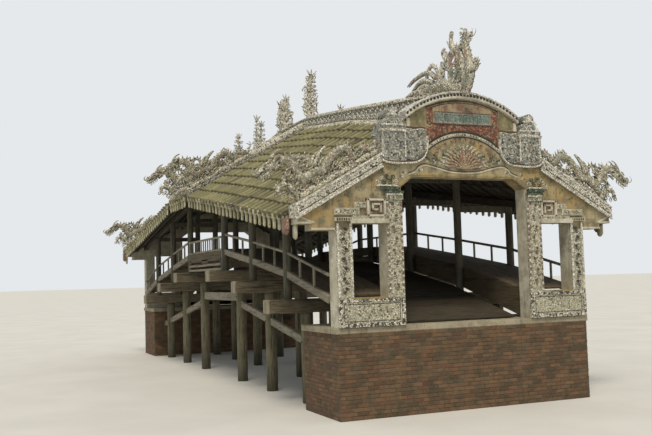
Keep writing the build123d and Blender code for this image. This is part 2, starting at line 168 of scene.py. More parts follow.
def add(
    tree: bpy.types.NodeTree, kind: str, inputs: dict | None = None, stops: Stops = (), **settings: object
) -> bpy.types.Node:
    """Add a node with its settings and links.

    Args:
        tree: The node tree.
        kind: The node's type name.
        inputs: A value or an output socket for each input, by the input's name or number.
        stops: Places and colours of a ramp.
        settings: Attributes of the node.

    Returns:
        The new node.
    """
    node = tree.nodes.new(kind)
    for name, value in settings.items():
        setattr(node, name, value)
    for key, value in (inputs or {}).items():
        if isinstance(value, Socket):
            tree.links.new(value, node.inputs[key])
        else:
            node.inputs[key].default_value = value
    for _ in stops[2:]:
        node.color_ramp.elements.new(0.5)
    for element, (place, code) in zip(node.color_ramp.elements if stops else (), stops):
        element.position = place
        element.color = linear(code)
    return node


class Coat:
    """A material in the making: a lowest colour, layers over it and a shader at the end."""

    def __init__(self, name: str, base: str = "#808080") -> None:
        """Start a material on Object coordinates.

        Args:
            name: The material's name.
            base: The lowest colour.
        """
        self.material = bpy.data.materials.new(name)
        self.material.use_nodes = True
        self.tree = self.material.node_tree
        self.tree.nodes.clear()
        self.place = add(self.tree, "ShaderNodeTexCoord").outputs["Object"]
        self.colour: object = linear(base)

    def tint(self, stops: Stops) -> Socket:
        """Return a colour that differs from piece to piece, by the shade number on the mesh."""
        shade = add(self.tree, "ShaderNodeAttribute", attribute_name="shade").outputs["Fac"]
        return add(self.tree, "ShaderNodeValToRGB", {"Fac": shade}, stops).outputs["Color"]

    def veil(self, mask: Socket, colour: object) -> None:
        """Lay a colour, as hex or a socket, over those below where a mask lets it."""
        inputs = {0: mask, 6: self.colour, 7: linear(colour) if isinstance(colour, str) else colour}
        self.colour = add(self.tree, "ShaderNodeMix", inputs, data_type="RGBA").outputs[2]

    def mark(self, colour: str, name: str, amount: float = 1.0) -> None:
        """Lay a colour over those below where a number on the mesh is high.

        Args:
            colour: The colour.
            name: The number's name on the mesh.
            amount: How much of the colour shows where the number is 1.
        """
        number = add(self.tree, "ShaderNodeAttribute", attribute_name=name).outputs["Fac"]
        self.veil(add(self.tree, "ShaderNodeMapRange", {"Value": number, "To Max": amount}).outputs["Result"], colour)

    def layer(
        self,
        colour: object,
        size_mm: float,
        low: float,
        high: float,
        amount: float = 1.0,
        detail: float = 4.0,
        rough: float = 0.6,
        stretch: Point = (1.0, 1.0, 1.0),
    ) -> Socket:
        """Lay a colour over those below in blotches.

        Args:
            colour: The colour, as hex or a socket.
            size_mm: The real size of the blotches.
            low: The noise below which nothing shows.
            high: The noise above which all of it shows.
            amount: How much of the colour shows there.
            detail: The noise's octaves.
            rough: The noise's roughness.
            stretch: The pattern's scale on each axis, small where it is drawn out.

        Returns:
            The noise, for the bump.
        """
        place = add(self.tree, "ShaderNodeMapping", {"Scale": stretch, "Vector": self.place}).outputs["Vector"]
        inputs = {"Scale": 1000 / size_mm, "Detail": detail, "Roughness": rough, "Vector": place}
        blotch = add(self.tree, "ShaderNodeTexNoise", inputs).outputs["Fac"]
        inputs = {"From Min": low, "From Max": high, "To Max": amount, "Value": blotch}
        mask = add(self.tree, "ShaderNodeMapRange", inputs, interpolation_type="SMOOTHSTEP")
        self.veil(mask.outputs["Result"], colour)
        return blotch

    def finish(
        self, rough: object, height: Socket | None = None, relief: float = 0.006, strength: float = 0.6
    ) -> bpy.types.Material:
        """End the material with a Principled shader and bump.

        Args:
            rough: Roughness as a number or a socket.
            height: The bump's height, if any.
            relief: The bump's depth in metres.
            strength: The bump's strength.

        Returns:
            The material.
        """
        inputs = {"Base Color": self.colour, "IOR": 1.5, "Roughness": rough}
        if height is not None:
            bump = add(self.tree, "ShaderNodeBump", {"Strength": strength, "Distance": relief, "Height": height})
            inputs["Normal"] = bump.outputs["Normal"]
        shader = add(self.tree, "ShaderNodeBsdfPrincipled", inputs)
        add(self.tree, "ShaderNodeOutputMaterial", {"Surface": shader.outputs["BSDF"]})
        return self.material


# Fired clay under a worn glaze: to the eye dull and olive, each tile its own tint, with pale lichen in spots as wide
# as a hand and soot in a grain of 45 mm, coarser than the real one so that it shows. The same dark colour is painted
# as shadow on each tile's upper end, where the tile above overlaps it.
@dataclass(frozen=True)
class ClayTile:
    """Fired clay roof tile with a worn olive glaze."""

    name: str = "Clay roof tile, pressed, worn olive glaze"
    light: str = "#8e895f"
    body: str = "#706c48"
    dark: str = "#454330"
    soot: str = "#383529"
    lichen: str = "#9c966a"

    def build(self) -> bpy.types.Material:
        """Make the material.

        Returns:
            The material.
        """
        coat = Coat(self.name)
        coat.colour = coat.tint(((0.0, self.dark), (0.3, self.body), (0.75, self.light), (1.0, self.body)))
        coat.layer(self.body, 420, 0.4, 0.7)
        fine = coat.layer(self.soot, 45, 0.52, 0.72, 1.0, 6.0, 0.7)
        coat.layer(self.lichen, 150, 0.6, 0.72, 1.0, 5.0, 0.75)
        # Painted shadow: the dark colour laid where the mesh marks a tile's upper end, under the lip of the tile above.
        coat.mark(self.soot, "soot")
        return coat.finish(0.62, fine)


# Broken porcelain set in lime mortar: to the eye a sparkle of small glazed chips with rough, dull joints between
# them, washed grey by dirt that runs down. Real chips are 15 to 40 mm; they are drawn at 26 to 60 so that they show.
@dataclass(frozen=True)
class ShardMosaic:
    """Porcelain shards set in lime mortar."""

    name: str
    colours: Stops
    mortar: str = "#77705f"
    shard_mm: float = 40.0
    grime: float = 0.35
    tinted: bool = False
    warp: float = 0.03
    hues: Stops = ((0.0, "#5f7a5a"), (0.45, "#8f9a84"), (0.55, "#a98f80"), (1.0, "#a9705a"))

    def build(self) -> bpy.types.Material:
        """Make the material.

        Returns:
            The material.
        """
        coat = Coat(self.name, self.mortar)
        tree, scale = coat.tree, 1000 / self.shard_mm
        sway = add(tree, "ShaderNodeTexNoise", {"Scale": scale * 0.6, "Detail": 2.0, "Vector": coat.place})
        inputs = {0: sway.outputs["Color"], 1: (self.warp,) * 3, 2: coat.place}
        moved = add(tree, "ShaderNodeVectorMath", inputs, operation="MULTIPLY_ADD").outputs[0]
        inputs = {"Scale": scale, "Randomness": 1.0, "Vector": moved}
        chips = add(tree, "ShaderNodeTexVoronoi", inputs)
        edge = add(tree, "ShaderNodeTexVoronoi", inputs, feature="DISTANCE_TO_EDGE").outputs["Distance"]
        pick = add(tree, "ShaderNodeSeparateColor", {"Color": chips.outputs["Color"]}).outputs[0]
        tint = add(tree, "ShaderNodeValToRGB", {"Fac": pick}, self.colours)
        tint.color_ramp.interpolation = "CONSTANT"
        chip = tint.outputs["Color"]
        if self.tinted:
            far = add(tree, "ShaderNodeAttribute", attribute_name="shade").outputs["Fac"]
            for how, number in (("SUBTRACT", 0.5), ("ABSOLUTE", 0.0), ("MULTIPLY", 1.5)):
                far = add(tree, "ShaderNodeMath", {0: far, 1: number}, operation=how).outputs[0]
            inputs = {0: far, 6: chip, 7: coat.tint(self.hues)}
            chip = add(tree, "ShaderNodeMix", inputs, data_type="RGBA").outputs[2]
        inputs = {"From Min": 0.03, "From Max": 0.12, "Value": edge}
        joint = add(tree, "ShaderNodeMapRange", inputs, interpolation_type="SMOOTHSTEP").outputs["Result"]
        coat.veil(joint, chip)
        coat.layer("#3d3a30", 260, 0.42, 0.7, self.grime, 6.0, 0.72)
        coat.layer("#4a463a", 90, 0.55, 0.75, self.grime * 0.8, 4.0, 0.6, (1.0, 1.0, 0.18))
        rough = add(tree, "ShaderNodeMapRange", {"To Min": 0.85, "To Max": 0.35, "Value": joint}).outputs["Result"]
        return coat.finish(rough, joint, 0.008, 0.7)


# Lime plaster, trowelled and limewashed: to the eye chalky and without any shine, with stains as wide as a door, rain
# streaks that run down and a mould speckle of 28 mm, coarser than the real one so that it shows.
@dataclass(frozen=True)
class LimePlaster:
    """Lime plaster, trowelled and limewashed."""

    name: str
    fresh: str
    warm: str
    stain: str
    mould: str = "#4b4638"
    dirt: float = 0.6

    def build(self) -> bpy.types.Material:
        """Make the material.

        Returns:
            The material.
        """
        coat = Coat(self.name, self.fresh)
        coat.layer(self.warm, 900, 0.38, 0.62)
        coat.layer(self.stain, 230, 0.43, 0.62, self.dirt, 6.0, 0.68)
        coat.layer(self.mould, 120, 0.55, 0.78, self.dirt, 5.0, 0.65, (1.0, 1.0, 0.12))
        fine = coat.layer(self.mould, 28, 0.5, 0.72, 0.5, 6.0, 0.7)
        return coat.finish(0.9, fine)


# Old hardwood, sawn or hewn: to the eye grey and matt, each timber its own shade, with open grain and dark checks
# along it. The real grain is 1 to 3 mm wide; it is drawn at 16 mm, and the checks at 45, so that they show.
@dataclass(frozen=True)
class SawnTimber:
    """Old hardwood, sawn or hewn, and weathered."""

    name: str
    pale: str
    mid: str
    dark: str
    grain: Grain = Grain.ALONG
    damp: bool = False

    def build(self) -> bpy.types.Material:
        """Make the material.

        Returns:
            The material.
        """
        coat = Coat(self.name, self.mid)
        drawn = tuple(0.06 if axis == self.grain.value else 1.0 for axis in range(3))
        grain = coat.layer(self.pale, 16, 0.35, 0.65, 1.0, 5.0, 0.65, drawn)
        coat.layer(self.mid, 500, 0.45, 0.7)
        coat.mark(self.dark, "shade", 0.5)
        coat.layer(self.dark, 45, 0.53, 0.66, 0.85, 3.0, 0.7, drawn)
        if self.damp:
            height = add(coat.tree, "ShaderNodeSeparateXYZ", {"Vector": coat.place}).outputs["Z"]
            inputs = {"From Min": 0.9, "From Max": 0.05, "To Max": 0.75, "Value": height}
            coat.veil(add(coat.tree, "ShaderNodeMapRange", inputs).outputs["Result"], "#2f2f22")
        return coat.finish(0.82, grain)


# Hand-made brick: to the eye rough and matt, each brick its own red or brown, with moss and soot in patches and worn
# pale spots of 22 mm, coarser than the real ones so that they show.
@dataclass(frozen=True)
class LaidBrick:
    """Hand-made brick laid in lime."""

    name: str = "Hand-made brick in lime mortar, mossy"
    tints: Stops = ((0.0, "#54402f"), (0.4, "#694c36"), (0.75, "#765a40"), (1.0, "#5f4d39"))

    def build(self) -> bpy.types.Material:
        """Make the material.

        Returns:
            The material.
        """
        coat = Coat(self.name)
        coat.colour = coat.tint(self.tints)
        coat.layer("#3f3d2d", 260, 0.42, 0.68, 0.75, 6.0, 0.7)
        fine = coat.layer("#7d7661", 22, 0.5, 0.75, 0.5, 5.0, 0.7)
        return coat.finish(0.9, fine, 0.008)


def shards(places: str, colours: str) -> Stops:
    """Return the stops of a mosaic's colours from hundredths and hex colours, each in words."""
    return tuple((int(place) / 100, "#" + code) for place, code in zip(places.split(), colours.split()))


@dataclass
class Palette:
    """Every finish of the bridge, built once."""

    made: dict[str, bpy.types.Material] = field(default_factory=dict)

    def mosaics(self) -> dict[str, ShardMosaic]:
        """List the mosaics: white and grey for the figures and bands, and clear colours for the panels.

        Returns:
            The mosaics by key.
        """
        shard, glazed, earth = "Porcelain shard mosaic, ", "Glazed shard mosaic, ", "Earthenware shard mosaic, "
        modelled = "Porcelain shard mosaic on modelled mortar, "
        rows = (
            ("pale", shard + "white and black chips", "#8f8a76", 40, 0.22,
             "0 38 65 76 86 95", "e8e3d0 d5cfba 34342f b2b4a6 f2eee0 6b4a38"),
            ("blue", shard + "grey and blue chips", "#77705f", 36, 0.25,
             "0 30 55 72 82 92", "a2a69c 7e8580 c6c6b8 2f3433 b5ab95 5c6870"),
            ("dragon", modelled + "weathered", "#99947f", 40, 0.22,
             "0 28 52 76 84 94", "e4dfcd ccc7b2 f0ecdf 4d4b42 aab0a6 b59483"),
            ("aged", modelled + "mossy", "#817b64", 40, 0.4,
             "0 28 52 74 84 95", "d4cfb9 bab59e e0dccb 4a483e 9aa093 a08575"),
            ("scale", "Porcelain plates, cut round, weathered", "#857f69", 60, 0.3,
             "0 30 55 75 90", "c6c2ac a9a48d d5d1c0 97a096 b89280"),
            ("white", shard + "cream chips", "#93907f", 44, 0.22, "0 40 70 88", "e9e6da d7d4c6 f2f0e6 9e9b8a"),
            ("cream", shard + "buff and rose chips", "#857a64", 34, 0.35, "0 40 65 85", "b5a284 a98f74 c4b698 96805f"),
            ("dado", shard + "celadon and cream chips", "#8f8974", 30, 0.2,
             "0 35 58 78 88", "c9c4aa b0ad95 e0dbc6 8d9483 5f5d4e"),
            ("border", "Porcelain shard border, black and white chips", "#6e695c", 38, 0.2,
             "0 45 75 90", "dcd7c6 2b2b29 efebdd 51504a"),
            ("red", earth + "iron red", "#5c4436", 42, 0.4,
             "0 26 42 58 74 88", "8a4634 6b3b2c 9a7a60 a0644a a39474 54392c"),
            ("teal", glazed + "celadon teal", "#5f6a60", 36, 0.3, "0 40 70 88", "7fa79a 8f9f97 5d8a80 a9b0a4"),
            ("board", shard + "lilac-grey chips", "#857f73", 30, 0.4, "0 40 70 88", "a3a398 b1aea1 8f938c b7aa9c"),
            ("green", glazed + "bottle green", "#4b4c3e", 36, 0.35, "0 40 65 85", "39503a 2c3b2f 56704f 8e9a84"),
            ("dark", "Bottle-glass shard inlay, near black", "#3c3a33", 30, 0.2,
             "0 50 80 93", "2b2c27 3a3b33 23241f 5c5d52"),
            ("deep", glazed + "deep teal", "#4f5a52", 30, 0.3, "0 50 80", "4f8577 6b9a8b 3f6a5d"),
            ("rust", earth + "faded rust", "#7b6a58", 30, 0.3, "0 40 70 90", "a07a66 8a5f4c b39684 6f4c3c"),
            ("brown", "Brown-glazed shard inlay", "#5f5546", 26, 0.3, "0 50 80", "5b4738 6f5a45 47382d"),
        )
        return {
            f"mosaic_{key}": ShardMosaic(name, shards(*stops), mortar, size, grime, key in ("dragon", "aged"))
            for key, name, mortar, size, grime, *stops in rows
        }

    def build(self) -> None:
        """Make all the materials."""
        clay, lime, wood = "Clay ", "Lime plaster, ", "Ironwood "
        finishes = self.mosaics() | {
            "tile": ClayTile(),
            # The pan tiles are darker than the covers, the eave is lime-washed and pale, and the drips are painted dark
            # for the shade of the eave that they hang in.
            "pan": ClayTile(
                clay + "pan tile, pressed, soot in the channel", "#6b6650", "#4a4635", "#322f24", "#1f1d17"
            ),
            "eave": ClayTile(
                clay + "eave tile, moulded, lime-washed olive", "#c9c4a0", "#b3ae8a", "#85815f", "#3d3b2b"
            ),
            "soot": ClayTile(clay + "drip tile, sooty in the eave's shade", "#4f4b39", "#38352a", "#25231c", "#181711"),
            # The fresher the limewash, the paler and cleaner it looks. Mortar and relief are darkened by moss.
            "mortar": LimePlaster("Lime mortar, raked, mossy", "#6f6a58", "#625c4a", "#45432f", "#33321f", 0.8),
            "plaster": LimePlaster(
                lime + "faded ochre limewash, stained", "#a89e80", "#a58d5e", "#766f58", "#45412f", 1.0
            ),
            "plaster_tan": LimePlaster(lime + "iron-stained", "#a39377", "#98826a", "#7b5f4d", "#5a4b3c", 1.0),
            "plaster_olive": LimePlaster(
                "Lime plaster relief, mossy olive", "#8b8563", "#7c7857", "#5f5d43", "#3f3f2c", 0.8
            ),
            "plaster_ochre": LimePlaster(lime + "ochre limewash", "#a89566", "#978456", "#766a4c", "#4d4736", 0.9),
            "plaster_white": LimePlaster(lime + "white limewash, aged", "#cbc7b5", "#b9b39d", "#928c76", "#5c5744"),
            "coping": LimePlaster("Cement render coping, worn", "#a89f88", "#9b917a", "#7a725f", "#4c4739"),
            # Wood under the roof is painted dark for the shade it lies in, and wood in the weather is silvered.
            # Feet of posts are wet.
            "board": SawnTimber(wood + "roof boards, sawn, sooty", "#564e42", "#3f392f", "#211e18"),
            "timber": SawnTimber("Ironwood, hewn, dark with smoke", "#4f493b", "#3a352b", "#211e18"),
            "timber_up": SawnTimber(
                wood + "column, turned smooth, weathered", "#6b6957", "#4d4b3e", "#2a2821", Grain.UPRIGHT
            ),
            "timber_pale": SawnTimber(wood + "rail, sawn, silvered", "#a39c88", "#7f7867", "#453f33"),
            "timber_brown": SawnTimber(wood + "boards, planed, brown and dry", "#6c614b", "#574c3a", "#302919"),
            "timber_cross": SawnTimber(wood + "beam, hewn, silvered", "#857b64", "#5f5746", "#332e24", Grain.ACROSS),
            "plank": SawnTimber(wood + "planks, sawn, worn by feet", "#4d4534", "#393225", "#1f1b14", Grain.ACROSS),
            # The end grain's silvered colours are kept a little dark: painted shade on the cap ends.
            "end_grain": SawnTimber(
                wood + "end grain, silvered and split", "#a69d87", "#827a66", "#443d30", Grain.UPRIGHT
            ),
            "pier": SawnTimber(
                wood + "post, debarked, damp at its foot", "#858067", "#625d48", "#343024", Grain.UPRIGHT, True
            ),
            "brick": LaidBrick(),
        }
        for key, finish in finishes.items():
            self.made[key] = finish.build()

    def __getitem__(self, key: str) -> bpy.types.Material:
        """Return a finish by its key."""
        return self.made[key]


class Shape:
    """A mesh in the making: vertices, faces and one shade number a face."""

    def __init__(self) -> None:
        """Start an empty shape."""
        self.points: list[Point] = []
        self.faces: list[tuple[int, ...]] = []
        self.shades: list[float] = []
        # One number a point for tile templates: painted shadow under the lip of the tile above.
        self.soot: list[float] = []

    def face(self, corners: Sequence[int], shade: float = 0.5) -> None:
        """Add a face by its corner numbers."""
        self.faces.append(tuple(corners))
        self.shades.append(shade)

    def loft(self, rings: Sequence[Sequence[Point]], shade: float = 0.5) -> None:
        """Join closed rings of points into a skin and fill the first and the last.

        Args:
            rings: Rings with the same number of points.
            shade: The faces' shade.
        """
        first, size = len(self.points), len(rings[0])
        last = first + (len(rings) - 1) * size
        for ring in rings:
            self.points.extend(tuple(p) for p in ring)
        for row in range(first, last, size):
            for k in range(size):
                a, b = row + k, row + (k + 1) % size
                self.face((a, b, b + size, a + size), shade)
        self.face([first + k for k in reversed(range(size))], shade)
        self.face([last + k for k in range(size)], shade)

    def slab(self, outline: Sequence[Point], thickness: Sequence[float], shade: float = 0.5) -> None:
        """Add a flat outline thickened along a vector."""
        self.loft([list(outline), [tuple(p[k] + thickness[k] for k in range(3)) for p in outline]], shade)

    def tube(
        self,
        path: Sequence[Point],
        radii: Sequence[float],
        sides: int = 8,
        shade: float = 0.5,
        flat: float = 1.0,
        normal: Point = (0.0, 1.0, 0.0),
    ) -> None:
        """Add a round bar along a path in a plane.

        Args:
            path: Points of the middle line.
            radii: The radius at each point.
            sides: Sides of the section.
            shade: The faces' shade.
            flat: Depth across the plane over the radius.
            normal: The plane's normal.
        """
        rings = []
        up = Vector(normal)
        for k, place in enumerate(path):
            ahead, behind = (Vector(path[min(max(k + step, 0), len(path) - 1)]) for step in (1, -1))
            side = (ahead - behind).normalized().cross(up).normalized()
            angles = [2 * math.pi * j / sides for j in range(sides)]
            offsets = [(side * math.cos(a) + up * math.sin(a) * flat) * radii[k] for a in angles]
            rings.append([tuple(Vector(place) + offset) for offset in offsets])
        self.loft(rings, shade)

    def mirrored(self, axis: int) -> "Shape":
        """Mirror the shape across the plane through the origin that an axis stands on.

        Args:
            axis: The axis by number.

        Returns:
            The mirrored copy.
        """
        other = Shape()
        other.points = [tuple(-c if k == axis else c for k, c in enumerate(p)) for p in self.points]
        other.faces = [tuple(reversed(f)) for f in self.faces]
        other.shades = list(self.shades)
        return other

    def joined(self, *others: "Shape") -> "Shape":
        """Add other shapes to this one.

        Args:
            others: The other shapes.

        Returns:
            This shape.
        """
        for other in others:
            first = len(self.points)
            self.points.extend(other.points)
            self.faces.extend(tuple(c + first for c in f) for f in other.faces)
            self.shades.extend(other.shades)
        return self

    def make(self, name: str, material: bpy.types.Material, smooth: bool = False) -> bpy.types.Object:
        """Turn the shape into an object at the origin, its faces pointing outwards.

        Args:
            name: The object's name.
            material: Its material.
            smooth: Whether its faces are shaded smooth.

        Returns:
            The object, linked to the scene.
        """
        mesh = bpy.data.meshes.new(name)
        mesh.from_pydata(self.points, [], self.faces)
        mesh.attributes.new("shade", "FLOAT", "FACE").data.foreach_set("value", self.shades)
        mesh.materials.append(material)
        work = bmesh.new()
        work.from_mesh(mesh)
        bmesh.ops.recalc_face_normals(work, faces=work.faces)
        work.to_mesh(mesh)
        work.free()
        mesh.polygons.foreach_set("use_smooth", [smooth] * len(mesh.polygons))
        return place_object(name, mesh)


def place_object(name: str, data: object) -> bpy.types.Object:
    """Make an object and link it to the scene.

    Args:
        name: Its name.
        data: Its mesh, lamp or camera.

    Returns:
        The object.
    """
    obj = bpy.data.objects.new(name, data)
    bpy.context.scene.collection.objects.link(obj)
    return obj


def arc_points(centre: Flat, radius: float, start: float, stop: float, steps: int) -> list[Flat]:
    """Return points on an arc, its angles in degrees."""
    angles = [math.radians(start + (stop - start) * k / steps) for k in range(steps + 1)]
    return [(centre[0] + radius * math.cos(a), centre[1] + radius * math.sin(a)) for a in angles]


def smooth_path(points: Sequence[Flat], steps: int = 6) -> list[Flat]:
    """Draw a smooth line through points.

    Args:
        points: The points.
        steps: Steps from one point to the next.

    Returns:
        The line's points.
    """
    out: list[Flat] = []
    ends = [points[0], *points, points[-1]]
    for quad in zip(ends, ends[1:], ends[2:], ends[3:]):
        for t in (j / steps for j in range(steps)):
            spot = []
            for a, b, c, d in zip(*quad):
                curve = 2 * b + (c - a) * t + (2 * a - 5 * b + 4 * c - d) * t * t + (3 * b - a - 3 * c + d) * t**3
                spot.append(0.5 * curve)
            out.append(tuple(spot))
    return out + [tuple(points[-1])]


def spiral(centre: Flat, size: float, turns: float, start: float, steps: int) -> list[Flat]:
    """Draw a scroll that winds in to its centre.

    Args:
        centre: The scroll's centre.
        size: Its outer radius.
        turns: How often it goes round.
        start: The angle where it starts, in radians.
        steps: Steps along it.

    Returns:
        The scroll's points.
    """
    out = []
    for t in (k / steps for k in range(steps + 1)):
        angle, reach = start + 2 * math.pi * turns * t, size * (1 - 0.85 * t)
        out.append((centre[0] + reach * math.cos(angle), centre[1] + reach * math.sin(angle)))
    return out


@dataclass
class Repeater:
    """A Geometry Nodes tree that sets a template on every point of a mesh, by the point's turn, size and shade."""

    name: str
    seed: int
    wobble: float
    spread: float

    def tree(self) -> bpy.types.NodeTree:
        """Build the tree with its named inputs.

        Returns:
            The tree, which ends in plain geometry with its material.
        """
        tree = bpy.data.node_groups.new(self.name, "GeometryNodeTree")
        kinds = ("Geometry", "Object", "Material", "Float", "Float", "Int")
        for label, kind in zip(("Geometry", "Template", "Material", "Wobble", "Size spread", "Seed"), kinds):
            tree.interface.new_socket(label, in_out="INPUT", socket_type=f"NodeSocket{kind}")
        tree.interface.new_socket("Geometry", in_out="OUTPUT", socket_type="NodeSocketGeometry")
        start = add(tree, "NodeGroupInput").outputs
        source = add(tree, "GeometryNodeObjectInfo", {"Object": start["Template"]}).outputs["Geometry"]
        turn, size = (
            add(tree, "GeometryNodeInputNamedAttribute", {"Name": label}, data_type="FLOAT_VECTOR").outputs["Attribute"]
            for label in ("turn", "size")
        )
        inputs = {0: (-1.0, -1.0, -1.0), "Seed": start["Seed"]}
        chance = add(tree, "FunctionNodeRandomValue", inputs, data_type="FLOAT_VECTOR").outputs[0]
        shake, swell = (
            add(tree, "ShaderNodeVectorMath", {0: chance, "Scale": start[label]}, operation="SCALE").outputs[0]
            for label in ("Wobble", "Size spread")
        )
        turned = add(tree, "ShaderNodeVectorMath", {0: turn, 1: shake}, operation="ADD").outputs[0]
        grown = add(tree, "ShaderNodeVectorMath", {0: size, 1: swell, 2: size}, operation="MULTIPLY_ADD").outputs[0]
        spin = add(tree, "FunctionNodeEulerToRotation", {0: turned}).outputs[0]
        inputs = {"Points": start["Geometry"], "Instance": source, "Rotation": spin, "Scale": grown}
        placed = add(tree, "GeometryNodeInstanceOnPoints", inputs).outputs["Instances"]
        real = add(tree, "GeometryNodeRealizeInstances", {"Geometry": placed}).outputs[0]
        dressed = add(tree, "GeometryNodeSetMaterial", {"Geometry": real, "Material": start["Material"]}).outputs[0]
        add(tree, "NodeGroupOutput", {0: dressed})
        return tree

    def run(
        self, template: Shape, places: Sequence[Place], material: bpy.types.Material, slot: str, smooth: bool = False
    ) -> None:
        """Set the template on the places and fix the result to the bridge.

        Args:
            template: The repeated shape, about the origin.
            places: Place, turn, size and shade of each copy.
            material: The finish.
            slot: A material slot's name, passed on to ride.
            smooth: Whether the template is shaded smooth.
        """
        pattern = template.make(self.name + "_pattern", material, smooth)
        pattern.data.attributes.remove(pattern.data.attributes["shade"])
        # The template's painted lip shadow goes with each copy.
        if template.soot:
            pattern.data.attributes.new("soot", "FLOAT", "POINT").data.foreach_set("value", template.soot)
        mesh = bpy.data.meshes.new(self.name + "_points")
        mesh.from_pydata([place[0] for place in places], [], [])
        for label, kind, key, numbers in (
            ("turn", "FLOAT_VECTOR", "vector", [c for place in places for c in place[1].to_euler()]),
            ("size", "FLOAT_VECTOR", "vector", [c for place in places for c in place[2]]),
            ("shade", "FLOAT", "value", [place[3] for place in places]),
        ):
            mesh.attributes.new(label, kind, "POINT").data.foreach_set(key, numbers)
        cloud = place_object(self.name + "_points", mesh)
        tree = self.tree()
        modifier = cloud.modifiers.new("repeat", "NODES")
        modifier.node_group = tree
        values = (pattern, material, self.wobble, self.spread, self.seed)
        inputs = dict(zip(("Template", "Material", "Wobble", "Size spread", "Seed"), values))
        for item in tree.interface.items_tree:
            if item.in_out == "INPUT" and item.name in inputs:
                modifier[item.identifier] = inputs[item.name]
        made = bpy.data.meshes.new_from_object(cloud.evaluated_get(bpy.context.evaluated_depsgraph_get()))
        made.name = self.name
        for spare in (cloud, pattern):
            bpy.data.objects.remove(spare)
        bpy.data.node_groups.remove(tree)
        ride(place_object(self.name, made), slot)


def basis(across: Vector, along: Vector) -> Matrix:
    """Work out a turn from two directions.

    Args:
        across: What its X axis is nearest to.
        along: Its Y axis.

    Returns:
        The turn.
    """
    y = along.normalized()
    x = (across - y * across.dot(y)).normalized()
    return Matrix((x, y, x.cross(y))).transposed()


def facing(across: Vector, along: Vector, out: Vector) -> Matrix:
    """Return the same turn, or the one with X the other way round if that faces its Z axis outwards."""
    turn = basis(across, along)
    return basis(-turn.col[0], along) if turn.col[2].dot(out) < 0 else turn


def ride(obj: bpy.types.Object, slot: str, *nodes: str) -> None:
    """Fix a piece to the bridge and report it.

    Args:
        obj: The piece.
        slot: Not used.
        nodes: CAD nodes that the piece stands for.
    """
    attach(obj, BODY)
    if nodes:
        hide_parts(*nodes)
    log.info("%s: %d faces", obj.name, len(obj.data.polygons))


def beam(
    a: Sequence[float],
    b: Sequence[float],
    width: float,
    depth: float,
    up: Vector = UP,
    chamfer: float = 0.008,
    shade: float = 0.0,
    gain: float = 0.0,
) -> Shape:
    """Cut a chamfered timber from a to b.

    Args:
        a: The middle of one end.
        b: The middle of the other end.
        width: Size across.
        depth: Size upwards.
        up: The way that depth is measured.
        chamfer: Cut of the long edges and the ends.
        shade: How much darker it is than its fellows.
        gain: How much deeper it is at b.

    Returns:
        The timber.
    """
    a, b = Vector(a), Vector(b)
    along = (b - a).normalized()
    side = along.cross(up).normalized()
    top = side.cross(along).normalized()
    w, c = width / 2, chamfer
    d0, d1 = depth / 2, (depth + gain) / 2
    shape = Shape()
    rings = []
    for place, shrink, d in ((a, 0.9, d0), (a + along * c, 1.0, d0), (b - along * c, 1.0, d1), (b, 0.9, d1)):
        half = [(w - c, -d), (w, -d + c), (w, d - c), (w - c, d)]
        outline = [(-w + c, -d), *half, *((-u, v) for u, v in reversed(half[1:]))]
        rings.append([tuple(place + side * (u * shrink) + top * (v * shrink)) for u, v in outline])
    shape.loft(rings, shade)
    return shape


def tile_cover() -> Shape:
    """Press a half-round cover tile a metre long and wide, wider low down, with painted shadow under the lip above.

    Returns:
        The tile.
    """
    shape = Shape()
    rings = []
    # The first two rings, at the upper end, carry painted shadow under the lip of the tile above.
    for y, radius, lift, soot in (
        (-0.5, 0.40, 0.0, 1.0),
        (-0.40, 0.41, 0.0, 1.0),
        (-0.30, 0.42, 0.0, 0.0),
        (0.38, 0.48, 0.04, 0.0),
        (0.55, 0.56, 0.12, 0.0),
    ):
        rings.append([(x, y, lift + z) for x, z in arc_points((0.0, 0.0), radius, 0, 180, 6)])
        shape.soot.extend([soot] * 7)
    shape.loft(rings)
    return shape


def tile_pan() -> Shape:
    """Press a hollow pan tile a metre long and wide, its lower edge scalloped.

    Returns:
        The tile.
    """
    shape = Shape()
    rings = []
    section = ((-0.5, 0.16), (-0.27, 0.04), (0.0, 0.0), (0.27, 0.04), (0.5, 0.16))
    # The first two rings, at the upper end, carry painted shadow under the lip of the tile above.
    for y, lift, soot in ((-0.5, 0.0, 1.0), (-0.36, 0.02, 1.0), (-0.24, 0.04, 0.0), (0.56, 0.16, 0.0)):
        top = [(x, y + (0.4 * (0.25 - x * x) if y > 0 else 0.0), lift + z) for x, z in section]
        rings.append(top + [(0.5, y, -0.15), (-0.5, y, -0.15)])
        shape.soot.extend([soot] * 7)
    shape.loft(rings)
    return shape


def tongue(width: float, height: float, depth: float, bow: float) -> Shape:
    """Press a hanging tile end with a round foot, bowed outwards.

    Args:
        width: Its width.
        height: Its height.
        depth: Its thickness.
        bow: How far its middle stands out.

    Returns:
        The tile end, hung from the origin and facing +X.
    """
    shape = Shape()
    straight = -height + width / 2
    outline = [(-width / 2, 0.0), (width / 2, 0.0)] + arc_points((0.0, straight), width / 2, 0, -180, 6)
    rings = []
    for part, out in ((1.0, 0.0), (1.03, 0.45), (0.8, 1.0)):
        x = depth * out + bow * max(0.0, out - 0.5)
        rings.append([(x, y * part, straight + (z - straight) * part) for y, z in outline])
    shape.loft(rings)
    return shape


